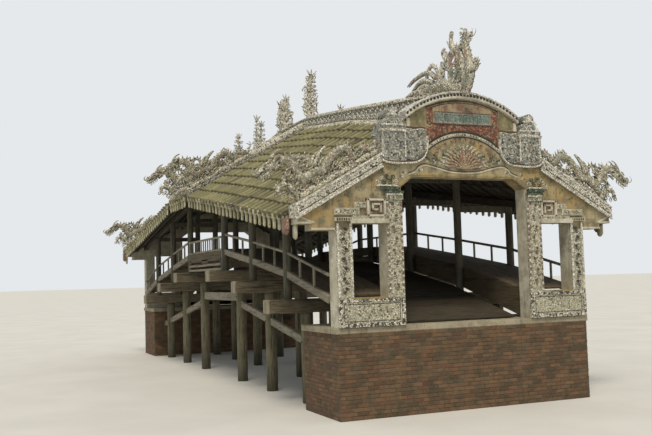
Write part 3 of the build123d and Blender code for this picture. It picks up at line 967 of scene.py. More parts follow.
@dataclass
class TiledRoof:
    """The two tiled slopes: cover and pan tiles in rows, and two tiers of hanging tile ends along the eaves."""

    palette: Palette
    row: float = 0.30
    course: float = 0.40
    cover: Point = (0.15, 0.1425, 0.02)
    pan: Point = (0.19, 0.12, 0.012)
    top: float = 0.17
    foot: float = LINES.gable + 0.03
    band_half: float = 0.12
    hood: Point = (0.14, 0.15, 0.06)
    tongue: Point = (0.10, 0.22, 0.03)
    drip: Point = (0.12, 0.12, 0.012)
    rose: Point = (0.24, 0.36, 0.07)
    pale: Point = (0.17, 0.30, 0.035)
    rafter: Flat = (0.07, 0.05)
    rafters_a_side: int = 40
    batten: Flat = (0.05, 0.03)
    battens: tuple[float, ...] = (3.55, 3.25, 2.3, 1.9, 0.9, 0.5)

    def turned(self, side: Side) -> Matrix:
        """Return the turn that makes a tile end face its own eave."""
        return Matrix.Rotation(0.0 if side is Side.RIGHT else math.pi, 3, "Z")

    def section(self, name: str, side: Side, y0: float, y1: float, seed: int) -> None:
        """Lay the tiles of one slab.

        Args:
            name: The slab's name.
            side: The slope's side.
            y0: Where the slab starts.
            y1: Where it ends.
            seed: The seed of its tints.
        """
        chance = random.Random(seed)
        rows = round((y1 - y0) / self.row)
        step = (y1 - y0) / rows
        covers, pans = [], []
        for k in range(2 * rows + 1):
            y = y0 + k * step / 2
            pitch = (LINES.roof(0.0, y) - LINES.roof(LINES.gable, y)) / LINES.gable
            stretch = math.hypot(1, pitch)
            courses = round((self.foot - self.top) * stretch / self.course)
            course = (self.foot - self.top) * stretch / courses
            down = Vector((side.value, 0.0, -pitch)).normalized()
            drift = chance.uniform(-0.012, 0.012)
            for j in range(courses):
                reach = self.top + (j + 0.5) * course / stretch
                slope = (LINES.roof(reach, y + 0.05) - LINES.roof(reach, y - 0.05)) / 0.1
                turn = facing(Vector((0.0, -side.value, -side.value * slope)), down, UP)
                slip = down * (drift + chance.uniform(-0.008, 0.008))
                place = Vector((side.value * reach, y, LINES.roof(reach, y))) + slip
                shade = min(1.0, max(0.0, chance.gauss(0.5, 0.22)))
                if k % 2:
                    width, height, lift = self.cover
                    covers.append((place + turn.col[2] * lift, turn, (width, course, height), shade))
                elif 0 < k < 2 * rows:
                    width, height, lift = self.pan
                    pans.append((place + turn.col[2] * lift, turn, (width, course, height), shade * 0.8))
        tile, pan = self.palette["tile"], self.palette["pan"]
        Repeater(f"tile_covers_{name}", seed, 0.016, 0.03).run(tile_cover(), covers, tile, "roof_tile", True)
        Repeater(f"tile_pans_{name}", seed + 1, 0.01, 0.02).run(tile_pan(), pans, pan, "roof_tile")
        self.eave(name, side, [y0 + k * (step / 2) for k in range(1, 2 * rows)], chance)

    def eave(self, name: str, side: Side, rows: Sequence[float], chance: random.Random) -> None:
        """Hang the tile ends of one slab: a pale hood over a tongue at each cover, and a dark drip between.

        Args:
            name: The slab's name.
            side: The slope's side.
            rows: The places of cover and pan tiles along the bridge, in turn.
            chance: The source of the tints.
        """
        turn, edge = self.turned(side), side.value * (LINES.gable + 0.002)
        hoods, tongues, drips = [], [], []
        kinds = (((hoods, 0.0, 0.06), (tongues, 0.03, -0.05)), ((drips, 0.0, -0.03),))
        for k, y in enumerate(rows):
            top = LINES.roof(LINES.gable, y)
            shade = chance.random()
            for places, shift, lift in kinds[k % 2]:
                places.append((Vector((edge, y + shift, top + lift)), turn, (1.0, 1.0, 1.0), shade))
        # The drips take the clay finish that is painted dark for the shade under the eave.
        for label, seed, shape, places, key in (
            ("eave_hoods", 2, tongue(*self.hood, 0.02), hoods, "eave"),
            ("eave_tongues", 3, tongue(*self.tongue, 0.02), tongues, "eave"),
            ("eave_drips", 4, tongue(*self.drip, 0.008), drips, "soot"),
        ):
            Repeater(f"{label}_{name}", seed, 0.03, 0.05).run(shape, places, self.palette[key], "roof_tile", True)

    def under(self, side: Side, x: float, y: float, drop: float) -> Vector:
        """Return a point under the slab of one slope."""
        return Vector((side.value * x, y, LINES.roof(x, y) - LINES.slab - drop))

    def rafters(self, side: Side) -> None:
        """Set the rafters and the battens under one slope.

        Args:
            side: The slope's side.
        """
        shape = Shape()
        end, last = LINES.wall - 0.15, self.rafters_a_side - 1
        for k in range(self.rafters_a_side):
            y = -end + 2 * end * k / last
            ends = [self.under(side, x, y, 0.022) for x in (0.1, LINES.gable - 0.03)]
            shape.joined(beam(*ends, *self.rafter))
        bends = (-LINES.wall, -LINES.stations[1], -LINES.roof_break, LINES.roof_break, LINES.stations[1], LINES.wall)
        for x in self.battens:
            for bay in zip(bends, bends[1:]):
                shape.joined(beam(*(self.under(side, x, y, 0.055) for y in bay), *self.batten))
        ride(shape.make(f"rafters_{side.name.lower()}", self.palette["timber"]), "timber")

    def ends(self) -> None:
        """Close each eave at the portals with a large rose tile end and a pale one under the gable."""
        rose, pale = Shape(), Shape()
        top = LINES.roof(LINES.gable, LINES.wall) + 0.04
        for side in Side:
            for end in End:
                for shape, size, bow, (x, y, z) in (
                    (rose, self.rose, 0.03, (LINES.gable, 8.93, top)),
                    (pale, self.pale, 0.02, (3.62, 9.12, LINES.approach + 2.0)),
                ):
                    part = tongue(*size, bow)
                    place = Vector((side.value * x, end.value * y, z))
                    part.points = [tuple(place + self.turned(side) @ Vector(p)) for p in part.points]
                    shape.joined(part)
        ride(rose.make("eave_ends_rose", self.palette["mosaic_rust"], True), "roof_tile")
        ride(pale.make("eave_ends_pale", self.palette["plaster_white"], True), "roof_tile")

    def build(self) -> None:
        """Lay both slopes."""
        edge, inner = LINES.roof_break + self.band_half, LINES.roof_break - self.band_half
        lengths = (("near", -LINES.wall, -edge), ("middle", -inner, inner), ("far", edge, LINES.wall))
        slabs = [(f"{label}_{side.name.lower()}", side, y0, y1) for label, y0, y1 in lengths for side in Side]
        for number, slab in enumerate(slabs):
            self.section(*slab, 100 + 10 * number)
        for side in Side:
            self.rafters(side)
        self.ends()


@dataclass
class Stage:
    """The floor, the lamp, the sky and the camera, which stands where the photograph was taken."""

    focal_px: float = 854.0
    width_px: int = 652
    place: Point = (-9.42, -24.25, 2.71)
    angles: Point = (23.02, 4.035, 1.639)
    floor_half: float = 600.0
    sky_light: float = 0.62
    sky_seen: float = 0.96
    sun_light: float = 2.3
    sun_width: float = 18.0
    sun_way: Point = (0.30, 0.55, -1.0)

    def floor(self) -> None:
        """Lay a plain pale floor."""
        coat = Coat("Plain pale floor, painted", "#d3d2cc")
        coat.layer("#cbcac4", 2500, 0.3, 0.7)
        shape, half = Shape(), self.floor_half
        shape.points = [(-half, -half, 0), (half, -half, 0), (half, half, 0), (-half, half, 0)]
        shape.face((0, 1, 2, 3))
        shape.make("floor", coat.finish(0.95))

    def sky(self) -> None:
        """Light the bridge from a pale sky, seen as a plain backdrop."""
        world = bpy.data.worlds.new("Pale sky")
        bpy.context.scene.world = world
        world.use_nodes = True
        tree = world.node_tree
        tree.nodes.clear()
        lit = add(tree, "ShaderNodeBackground", {"Color": linear("#eef1f4"), "Strength": self.sky_light}).outputs[0]
        seen = add(tree, "ShaderNodeBackground", {"Color": linear("#e9edf0"), "Strength": self.sky_seen}).outputs[0]
        rays = add(tree, "ShaderNodeLightPath").outputs["Is Camera Ray"]
        both = add(tree, "ShaderNodeMixShader", {0: rays, 1: lit, 2: seen}).outputs[0]
        add(tree, "ShaderNodeOutputWorld", {"Surface": both})

    def lamps(self) -> None:
        """Hang one broad soft sun."""
        data = bpy.data.lights.new("Soft sun", "SUN")
        data.energy = self.sun_light
        data.angle = math.radians(self.sun_width)
        data.color = linear("#fff4e2")[:3]
        place_object("soft_sun", data).rotation_euler = Vector(self.sun_way).to_track_quat("-Z", "Y").to_euler()

    def camera(self) -> None:
        """Set the camera."""
        yaw, pitch, roll = (math.radians(v) for v in self.angles)
        ahead = Vector((math.sin(yaw) * math.cos(pitch), math.cos(yaw) * math.cos(pitch), math.sin(pitch)))
        level = Vector((math.cos(yaw), -math.sin(yaw), 0.0))
        rise = level.cross(ahead)
        right = level * math.cos(roll) - rise * math.sin(roll)
        up = level * math.sin(roll) + rise * math.cos(roll)
        data = bpy.data.cameras.new("photo_view")
        data.sensor_width = 36.0
        data.lens = self.focal_px / self.width_px * data.sensor_width
        data.clip_end = 500.0
        camera = place_object("photo_view", data)
        camera.matrix_world = Matrix.Translation(self.place) @ Matrix((right, up, -ahead)).transposed().to_4x4()
        bpy.context.scene.camera = camera

    def build(self) -> None:
        """Set the stage."""
        self.floor()
        self.sky()
        self.lamps()
        self.camera()
        bpy.context.scene.view_settings.view_transform = "Standard"


@dataclass
class Frame:
    """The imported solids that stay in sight, each with its finish."""

    palette: Palette
    coping_foot: float = 1.625
    pale_timber: tuple[str, ...] = (
        "bench_left", "bench_right", "railing_left", "railing_right", "balcony", "lower_ties",
    )

    def dress(self, node: str, *keys: str, pick: Callable[[Vector, Vector], int] | None = None) -> None:
        """Give a node its finishes.

        Args:
            node: The node's name.
            keys: Finishes by key.
            pick: Which finish a face takes, by its centre and normal.
        """
        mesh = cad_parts[node].data
        mesh.materials.clear()
        for key in keys:
            mesh.materials.append(self.palette[key])
        if pick:
            mesh.polygons.foreach_set("material_index", [pick(p.center, p.normal) for p in mesh.polygons])

    def portal_face(self, centre: Vector, normal: Vector) -> int:
        """Pick white limewash for the faces across the bridge and inside it, and ochre for the gable."""
        return int(abs(normal.x) > 0.7 or abs(centre.y) < LINES.wall + 0.02)

    def moulding_face(self, centre: Vector, normal: Vector) -> int:
        """Pick the mosaic of a moulding by its place on the portal.

        Args:
            centre: The face's centre.
            normal: Its normal.

        Returns:
            3 for the arch, 2 for the dado, 1 for the shoulders and 0 for the rest.
        """
        reach, rise = abs(centre.x), centre.z - LINES.approach
        if reach < LINES.shoulder_inner + 0.02 and rise > 3.9:
            return 3
        if reach > 1.47 and rise < 2.63 and centre.z < LINES.rake(reach) - 0.29:
            return 2
        return int(reach < LINES.shoulder_outer + 0.01 and rise > 2.9)

    def bent_face(self, centre: Vector, normal: Vector) -> int:
        """Pick debarked wood for the posts of a bent and hewn wood for its cap beam."""
        return int(not (abs(normal.z) < 0.1 and abs(normal.x) > 0.02 and abs(centre.x) < 2.6))

    def build(self) -> None:
        """Dress every node."""
        mouldings = ("mosaic_pale", "mosaic_blue", "mosaic_dado", "mosaic_white")
        for end in ("near", "far"):
            self.dress(f"abutment_{end}", "mortar", "coping", pick=lambda c, n: int(c.z > self.coping_foot))
            for part in ("left", "right", "head"):
                self.dress(f"portal_{end}_{part}", "plaster", "plaster_white", pick=self.portal_face)
            self.dress(f"portal_{end}_mouldings", *mouldings, pick=self.moulding_face)
            for kind in ("rake_dragons", "middle_dragons", "ridge_dragon"):
                self.dress(f"{kind}_{end}", "mosaic_dragon")
            self.dress(f"raking_band_{end}", "mosaic_blue")
        for part in ("near", "middle", "far"):
            for side in ("left", "right"):
                self.dress(f"roof_{part}_{side}", "board", "pan", pick=lambda c, n: int(n.z > 0.2))
        for number in range(1, 7):
            self.dress(f"bent_{number}", "pier", "timber_cross", pick=self.bent_face)
            self.dress(f"frame_{number}", "timber_up")
        self.dress("ridge_band", "mosaic_blue")
        for node in ("purlins", "walkway"):
            self.dress(node, "timber")
        for node in self.pale_timber:
            self.dress(node, "timber_pale")


@dataclass
class Creature:
    """A figure modelled in mortar and set with shards. Its lines are in thousandths of its length."""

    palette: Palette
    name: str
    at: Callable[[float, float, float], Point]
    normal: Point
    seed: int
    finish: str = "mosaic_dragon"
    length: float = 2.5
    shape: Shape = field(default_factory=Shape)
    scales: list[Place] = field(default_factory=list)

    def limb(
        self,
        line: Sequence[Flat],
        widths: Sequence[float],
        offset: float = 0.0,
        flat: float = 0.8,
        sides: int = 7,
        bumps: float = 0.0,
        shade: float = 0.5,
        steps: int = 4,
    ) -> list[Point]:
        """Model a round limb.

        Args:
            line: Its middle line, inwards and up.
            widths: Its width at each point of the line.
            offset: How far it lies to one side, in metres.
            flat: Its depth over its width.
            sides: Sides of its section.
            bumps: How far every second ring stands out.
            shade: Its shade.
            steps: Rings between two points of the line.

        Returns:
            Inwards, up and radius along the limb.
        """
        path = smooth_path(line, steps)
        radii, traced = [], []
        for k, (a, b) in enumerate(path):
            part = min(k / steps, len(widths) - 1.001)
            low = int(part)
            radius = (widths[low] + (widths[low + 1] - widths[low]) * (part - low)) / 2
            traced.append((a, b, radius))
            radii.append(radius * (self.length / 1000) * (1 + bumps * (k % 2)))
        self.shape.tube([self.at(a, b, offset) for a, b in path], radii, sides, shade, flat, self.normal)
        return traced

    def leaf(
        self,
        a: float,
        b: float,
        angle: float,
        size: float,
        curl: float = 60.0,
        offset: float = 0.0,
        width: float = 0.2,
    ) -> None:
        """Model a curling leaf or flame.

        Args:
            a: Its root, inwards.
            b: Its root, upwards.
            angle: Which way it sets out, in degrees from inwards to up.
            size: Its length.
            curl: How far it turns, in degrees.
            offset: How far it lies to one side.
            width: Its width over its length.
        """
        line = [(a, b)]
        for k in range(1, 5):
            way = math.radians(angle + curl * k / 4)
            line.append((line[-1][0] + size / 4 * math.cos(way), line[-1][1] + size / 4 * math.sin(way)))
        self.limb(line, [size * width * w for w in (0.75, 1.0, 0.95, 0.7, 0.36)], offset, 0.6, 5, steps=2)

    def fins(self, traced: Sequence[Point], height: float, hand: float, every: int) -> None:
        """Set a row of fins along one edge of a limb.

        Args:
            traced: The limb's points and radii.
            height: The fins' height.
            hand: Which edge, 1 or -1.
            every: How many points lie between two fins.
        """
        for k in range(1, len(traced) - 1, every):
            a, b, radius = traced[k]
            out = math.atan2(traced[k + 1][1] - traced[k - 1][1], traced[k + 1][0] - traced[k - 1][0])
            out += hand * math.radians(55)
            ends = [(a + reach * math.cos(out), b + reach * math.sin(out)) for reach in (radius * 0.7, radius + height)]
            self.limb(ends, [height * 0.8, height * 0.26], 0.0, 0.4, 4, steps=1)

    def scale_rows(self, traced: Sequence[Point], size: float) -> None:
        """Lay overlapping scales on both flanks of a limb.

        Args:
            traced: The limb's points and radii.
            size: A scale's width.
        """
        unit = self.length / 1000
        chance = random.Random(self.seed)
        normal = Vector(self.normal)
        for k in range(1, len(traced) - 1):
            a, b, radius = traced[k]
            ahead = Vector(self.at(traced[k + 1][0], traced[k + 1][1], 0.0)) - Vector(self.at(a, b, 0.0))
            across = ahead.cross(normal).normalized()
            rows = max(1, round(1.5 * radius / size))
            for j in range(rows):
                spread = (j + 0.5 + 0.5 * (k % 2) - rows / 2) / rows * 1.3
                if abs(spread) > 0.75:
                    continue
                for hand in (-1, 1):
                    depth = radius * unit * 0.8 * math.sqrt(1 - spread * spread)
                    place = Vector(self.at(a, b, 0.0)) + across * (spread * radius * unit) + normal * (hand * depth)
                    turn = facing(across * hand, ahead, normal * hand)
                    self.scales.append((place, turn, (size * unit,) * 3, chance.random()))

    def curl(
        self,
        a: float,
        b: float,
        size: float,
        turns: float = 1.3,
        start: float = 0.0,
        offset: float = 0.0,
        shade: float = 0.5,
    ) -> None:
        """Model a cloud scroll.

        Args:
            a: Its centre, inwards.
            b: Its centre, upwards.
            size: Its radius.
            turns: How often it goes round.
            start: The angle where it starts, in radians.
            offset: How far it lies to one side.
            shade: Its shade.
        """
        widths = [size * 0.44] * 7 + [size * 0.36] * 7
        self.limb(spiral((a, b), size, turns, start, 13), widths, offset, 0.7, 5, 0.0, shade, 1)

    def claw(self, a: float, b: float, angle: float, size: float, offset: float) -> None:
        """Spread four claws from a foot."""
        for spread in (-50, -15, 20, 60):
            self.leaf(a, b, angle + spread, size, -35.0, offset, 0.3)

    def head(self, a: float, b: float, size: float, turn: float) -> None:
        """Model a head that looks outwards with its jaws open.

        Args:
            a: The skull's middle, inwards.
            b: The skull's middle, upwards.
            size: The head's size.
            turn: How far it looks up, in degrees.
        """
        rows = [
            (((-0.45, -0.1), (-0.1, 0.0), (0.25, 0.05), (0.55, 0.0)), (0.5, 0.75, 0.66, 0.4), 0.0, 0.75),
            (((0.3, 0.06), (0.7, 0.14), (1.0, 0.06), (1.15, -0.05)), (0.5, 0.4, 0.34, 0.12), 0.0, 0.8),
            (((0.95, 0.12), (1.12, 0.26), (1.02, 0.42), (0.88, 0.36)), (0.2, 0.16, 0.12, 0.06), 0.0, 0.8),
            (((0.0, -0.2), (0.4, -0.36), (0.8, -0.42), (1.0, -0.34)), (0.36, 0.26, 0.18, 0.06), 0.0, 0.8),
            (((0.3, -0.14), (0.75, -0.18), (1.05, -0.26), (1.2, -0.14)), (0.14, 0.12, 0.08, 0.02), 0.0, 0.8),
        ]
        for u in (0.5, 0.68, 0.86, 1.02):
            rows.append((((u, 0.0), (u + 0.02, -0.16)), (0.12, 0.02), 0.0, 0.8))
            rows.append((((u - 0.06, -0.36), (u - 0.04, -0.22)), (0.1, 0.02), 0.0, 0.8))
        for hand in (-0.26, 0.26):
            rows += [
                (((0.26, 0.2), (0.34, 0.22), (0.42, 0.2)), (0.1, 0.2, 0.1), hand, 1.0),
                (((0.08, 0.28), (0.34, 0.42), (0.58, 0.3)), (0.06, 0.16, 0.05), hand, 0.8),
                (((0.05, 0.3), (-0.2, 0.66), (-0.55, 0.78), (-0.8, 0.68)), (0.2, 0.17, 0.12, 0.04), hand * 0.8, 0.8),
                (((-0.1, 0.2), (-0.42, 0.38), (-0.7, 0.32)), (0.2, 0.24, 0.05), hand * 1.2, 0.5),
                (((0.9, 0.0), (1.25, 0.2), (1.38, 0.55), (1.18, 0.7)), (0.09, 0.08, 0.06, 0.03), hand * 0.7, 0.8),
            ]
        for k in range(6):
            lift = 0.25 - 0.16 * k
            mane = ((-0.2, lift), (-0.55, lift + 0.04), (-0.8, lift - 0.14 + 0.05 * (k % 2)))
            rows.append((mane, (0.24, 0.2, 0.04), 0.3 * (k % 2) - 0.15, 0.6))
        for u in (0.05 + 0.22 * k for k in range(4)):
            rows.append((((u, -0.36), (u - 0.06, -0.6), (u + 0.06, -0.78)), (0.15, 0.12, 0.03), 0.0, 0.8))
        cos, sin = math.cos(math.radians(turn)), math.sin(math.radians(turn))
        for line, widths, offset, flat in rows:
            spots = [(a - size * (u * cos - v * sin), b + size * (u * sin + v * cos)) for u, v in line]
            self.limb(spots, [w * size for w in widths], offset * size * (self.length / 1000), flat, 6, steps=3)

    def model(self) -> None:
        """Model the whole creature; each kind of creature has its own."""
        raise NotImplementedError

    def make(self, *nodes: str) -> None:
        """Turn the creature into its pieces.

        Args:
            nodes: The CAD nodes that it stands for.
        """
        self.model()
        ride(self.shape.make(self.name, self.palette[self.finish], True), "mosaic", *nodes)
        if self.scales:
            plate = Shape()
            outline = [(-0.5, -0.55), (0.5, -0.55), (0.5, 0.1), (0.0, 0.6), (-0.5, 0.1)]
            upper = [(x * 0.8, y * 0.85, 0.1 + 0.12 * y) for x, y in outline]
            plate.loft([[(x, y, -0.1) for x, y in outline], upper])
            laid = Repeater(f"{self.name}_scales", self.seed, 0.08, 0.1)
            laid.run(plate, self.scales, self.palette["mosaic_scale"], "mosaic")


class RakeDragon(Creature):
    """A dragon that climbs down a rake towards the eave, over a cloud of scrolls."""

    def model(self) -> None:
        """Model the whole dragon."""
        self.body()
        self.tail()
        self.crest()
        self.legs()
        self.cloud()

    def body(self) -> None:
        """Model the arched body with its fins and scales, and the head."""
        line = (
            (735, 128), (700, 66), (640, 92), (590, 118), (540, 80), (500, 130), (455, 190), (396, 210), (336, 194),
            (296, 156), (262, 122), (220, 138), (172, 152), (130, 140), (84, 158), (52, 210), (24, 280), (-30, 356),
            (-96, 388),
        )
        widths = (12, 22, 34, 44, 52, 56, 60, 62, 62, 62, 64, 66, 68, 68, 68, 68, 70, 72, 70)
        body = self.limb(line, widths, bumps=0.08)
        self.fins(body, 30, -1, 2)
        self.scale_rows(body, 17)
        self.head(-160, 384, 105, -6.0)

    def tail(self) -> None:
        """Model the roll that it lies on, the tuft of the tail and the large scrolls."""
        roll = ((740, 14), (600, 26), (500, 12), (380, 26), (248, 14), (140, 26), (40, 14))
        self.limb(roll, (50, 70, 52, 74, 56, 76, 50), flat=1.1)
        for k, root in enumerate(((735, 128, 60, 60), (738, 128, 110, 70), (732, 122, 20, 60), (700, 70, 130, 50))):
            self.leaf(*root, 70.0 - 30.0 * (k % 3), 0.02 * (k % 2))
        for a, size, start in (
            (660, 34, 0.4), (560, 40, 2.6), (470, 34, 0.6), (400, 52, 2.2), (330, 36, 1.2), (250, 40, 0.2),
            (180, 44, 2.8), (96, 46, 1.6), (20, 40, 0.3),
        ):
            self.curl(a, 52 + size * 0.5, size, 1.3, start, 0.02)
            self.curl(a + 30, 44 + size * 0.4, size * 0.7, 1.2, start + 2, -0.03)

    def crest(self) -> None:
        """Model the flames on its back."""
        for root in (
            (400, 222, 100, 60), (352, 212, 70, 52), (452, 200, 120, 50), (226, 156, 96, 84), (196, 190, 88, 160),
            (168, 210, 104, 96), (140, 150, 80, 60), (600, 120, 96, 52), (52, 226, 60, 76), (32, 290, 50, 70),
            (-10, 350, 60, 60), (64, 180, 20, 56), (420, 150, 100, 90), (300, 130, 95, 60), (350, 140, 80, 74),
            (480, 110, 110, 74), (-40, 300, 130, 60), (0, 250, 150, 66),
        ):
            self.leaf(*root, -70.0, 0.0, 0.3)

    def legs(self) -> None:
        """Model the legs with their claws and the hoop behind the neck."""
        self.limb(((84, 150), (20, 128), (-40, 160), (-96, 200)), (46, 40, 30, 24), 0.02)
        self.claw(-96, 200, 175, 44, 0.02)
        self.limb(((60, 20), (14, 106), (-44, 176), (-92, 194), (-118, 158)), (48, 46, 42, 36, 26), -0.02, bumps=0.12)
        self.curl(-100, 152, 26, 1.2, 1.6, -0.02)
        self.limb(((330, 200), (350, 130), (392, 96), (430, 60)), (44, 40, 30, 24), 0.03)
        self.claw(430, 60, -20, 40, 0.03)
        for a, b, start in (
            (-70, 110, 0.5), (-118, 150, 2.4), (8, 96, 1.0), (330, 178, 0.2), (384, 186, 2.0), (430, 170, 3.6),
            (160, 176, 1.2), (200, 190, 3.0),
        ):
            self.curl(a, b, 26, 1.2, start)
        widths = (34, 40, 42, 42, 42, 42, 42, 40, 36, 32, 28, 20)
        self.fins(self.limb(arc_points((52, 226), 104, -200, 100, 11), widths, 0.03, bumps=0.1), 22, -1, 3)

    def cloud(self) -> None:
        """Fill the room between the body and the rake with scrolls and tongues at random."""
        chance = random.Random(self.seed)
        for a in range(-20, 653, 42):
            top = 300 - 0.75 * max(0, a - 60) if a < 260 else 178 - 0.12 * a
            b = 52.0
            while b < top:
                size = chance.uniform(24, 38)
                hand = chance.choice((-1, 1))
                spot = (a + chance.uniform(-14, 14), b + chance.uniform(-6, 6))
                look = (chance.uniform(1.0, 1.5) * hand, chance.uniform(0, 6), chance.uniform(-0.06, 0.06))
                self.curl(*spot, size, *look, chance.choice((0.3, 0.5, 0.5, 0.5, 0.7)))
                b += size * 1.5
            look = (chance.uniform(*span) for span in ((50, 130), (44, 70), (-90, 90), (-0.04, 0.04)))
            self.leaf(a, top - 16, *look, 0.26)


@dataclass
class RidgeDragon(Creature):
    """A dragon that rears up at the end of the ridge, with a pale and a dark rosette of curls on its flanks."""

    pale_rosette: tuple[tuple[float, ...], ...] = (
        (56, 286, 36, 0.2), (92, 244, 30, 2.0), (-10, 238, 38, 2.6), (-44, 292, 28, 1.1), (28, 218, 26, 4.0),
    )
    dark_rosette: tuple[tuple[float, ...], ...] = (
        (30, 132, 46, 0.4), (88, 148, 30, 2.2), (-50, 110, 36, 0.8), (-30, 170, 26, 3.0),
    )

    def model(self) -> None:
        """Model the whole dragon."""
        self.body()
        self.loops()
        self.flames()
        self.flanks()

    def body(self) -> None:
        """Model the back, the chest, the ribbon round it and the head."""
        line = ((780, 14), (640, 34), (540, 50), (430, 62), (320, 60), (200, 56), (90, 30), (-20, -2))
        back = self.limb(line, (44, 70, 84, 92, 100, 104, 100, 70), bumps=0.06)
        line = ((-70, -53), (-112, 10), (-150, 80), (-152, 140), (-138, 215), (-124, 287), (-98, 345), (-92, 390))
        chest = self.limb(line, (66, 76, 76, 72, 68, 62, 56, 60), bumps=0.05)
        line = ((-84, 372), (-21, 348), (58, 350), (131, 326), (170, 267), (154, 199), (160, 129), (122, 52))
        ribbon = self.limb(line, (60, 60, 64, 66, 60, 54, 54, 60), bumps=0.05)
        self.limb(((10, 335), (0, 250), (-14, 170), (10, 90), (40, 10)), (90, 150, 160, 160, 120), flat=0.42)
        self.scale_rows(back, 24)
        self.scale_rows(chest, 22)
        self.fins(ribbon, 20, 1, 3)
        self.head(-104, 414, 88, -12.0)
        self.curl(-86, 462, 26, 1.2, 2.0)

    def loops(self) -> None:
        """Model the loops and horns of the ribbon."""
        for line, widths in (
            (((64, 330), (108, 400), (122, 444), (112, 490), (98, 512)), (56, 46, 42, 46, 34)),
            (((176, 262), (234, 312), (262, 352), (250, 384), (224, 384)), (48, 44, 38, 30, 20)),
            (((164, 270), (186, 320), (204, 352), (226, 366)), (34, 30, 24, 14)),
            (((160, 232), (205, 262), (250, 268), (304, 283)), (46, 38, 28, 8)),
            (((168, 200), (230, 224), (290, 258)), (44, 34, 10)),
            (
                ((548, 60), (548, 150), (524, 222), (472, 262), (418, 262), (366, 214), (352, 150), (388, 96)),
                (46, 44, 42, 40, 40, 40, 40, 36),
            ),
            (((344, 50), (334, 150), (304, 222), (300, 276)), (70, 56, 34, 10)),
            (((262, 50), (278, 140), (258, 222), (236, 252)), (72, 60, 40, 14)),
            (((248, 122), (190, 74), (131, 49)), (38, 36, 40)),
            (((47, 90), (90, 56), (131, 49)), (30, 34, 40)),
        ):
            self.limb(line, widths, flat=0.7, bumps=0.08)

    def flames(self) -> None:
        """Model the flames on its crown and loop and the strands that trail along the ridge."""
        for root in (
            (110, 352, 45, 125), (92, 356, 62, 104), (60, 352, 112, 66), (448, 254, 88, 44), (384, 226, 104, 54),
            (474, 258, 70, 40), (-60, 370, 60, 50),
        ):
            self.leaf(*root, 10.0, 0.0, 0.24)
        for line in (
            ((392, 150), (478, 206), (557, 214), (648, 204), (792, 166), (891, 122)),
            ((430, 112), (572, 150), (688, 130), (811, 68)),
            ((450, 80), (554, 98), (669, 84), (764, 34)),
            ((560, 44), (659, 62), (812, 50), (949, 18)),
        ):
            for offset in (-0.025, 0.025):
                self.limb(line, [40, 42, 38, 32, 26, 12][: len(line) - 1] + [12], offset, 0.7, bumps=0.14)

    def flanks(self) -> None:
        """Model the rosettes, the scrolls and the claws of both flanks and the plates of the chest."""
        for hand in (-1, 1):
            for shade, spots in ((0.95, self.pale_rosette), (0.05, self.dark_rosette)):
                for a, b, size, start in spots:
                    self.curl(a, b, size, 1.5, start, 0.1 * hand, shade)
            for k in range(13):
                self.curl(-20 + 62 * k, 6 + 26 * (k % 2), 34 + 6 * (k % 3), 1.4, 1.7 * k, 0.075 * hand)
            self.limb(((-130, 150), (-190, 126), (-236, 152)), (52, 46, 40), 0.04 * hand)
            self.claw(-226, 160, 150, 60, 0.04 * hand)
            self.claw(-76, -30, 205, 46, 0.05 * hand)
        self.curl(-240, 172, 34, 1.3, 1.0)
        for k in range(5):
            self.leaf(-132 - 6 * k, 110 + 44 * k, 172 - 6 * k, 30, 60.0, 0.0, 0.4)


@dataclass
class Bush(Creature):
    """An open bush of flames about an upright stem: half its width at the foot, its height and its levels."""

    spread: float = 128.0
    height: float = 620.0
    levels: int = 9

    def model(self) -> None:
        """Model the stem, the fronds with their scrolls and the three tips."""
        spread, height = self.spread, self.height
        stem = [(spread * 0.15, -20)]
        stem += [(spread * lean, height * up) for lean, up in ((0.0, 0.3), (-0.12, 0.62), (-0.22, 0.9))]
        self.limb(stem, [spread * w for w in (0.6, 0.3, 0.24, 0.12)], flat=0.7, bumps=0.1)
        chance = random.Random(self.seed)
        for k in range(self.levels):
            part = k / (self.levels - 1)
            hand = 1 if k % 2 else -1
            reach = spread * (1.12 - 0.56 * part) * chance.uniform(0.8, 1.05)
            up, lean, offset = height * (0.02 + 0.74 * part), -spread * 0.16 * part, 0.03 * (k % 3 - 1)
            for way, size in ((hand, 1.0), (-hand, 0.76)):
                swing = chance.uniform(-22, 22)
                bend, open_bend = way * 110.0, -way * 60.0
                self.leaf(lean + way * spread * 0.06, up, 90 - way * 52 + swing, reach * 1.1 * size, bend, offset, 0.36)
                root = (lean + way * spread * 0.12, up + reach * 0.25)
                self.leaf(*root, 90 - way * 20 - swing, reach * size, open_bend, -offset, 0.32)
                self.curl(lean + way * reach * 0.56, up + reach * 0.42, reach * 0.42 * size, 1.3, k + way, offset)
        for lean in (-16, 2, 22):
            self.leaf(-spread * 0.2, height * 0.78, 90 + lean, height * 0.19, lean, 0.0, 0.22)


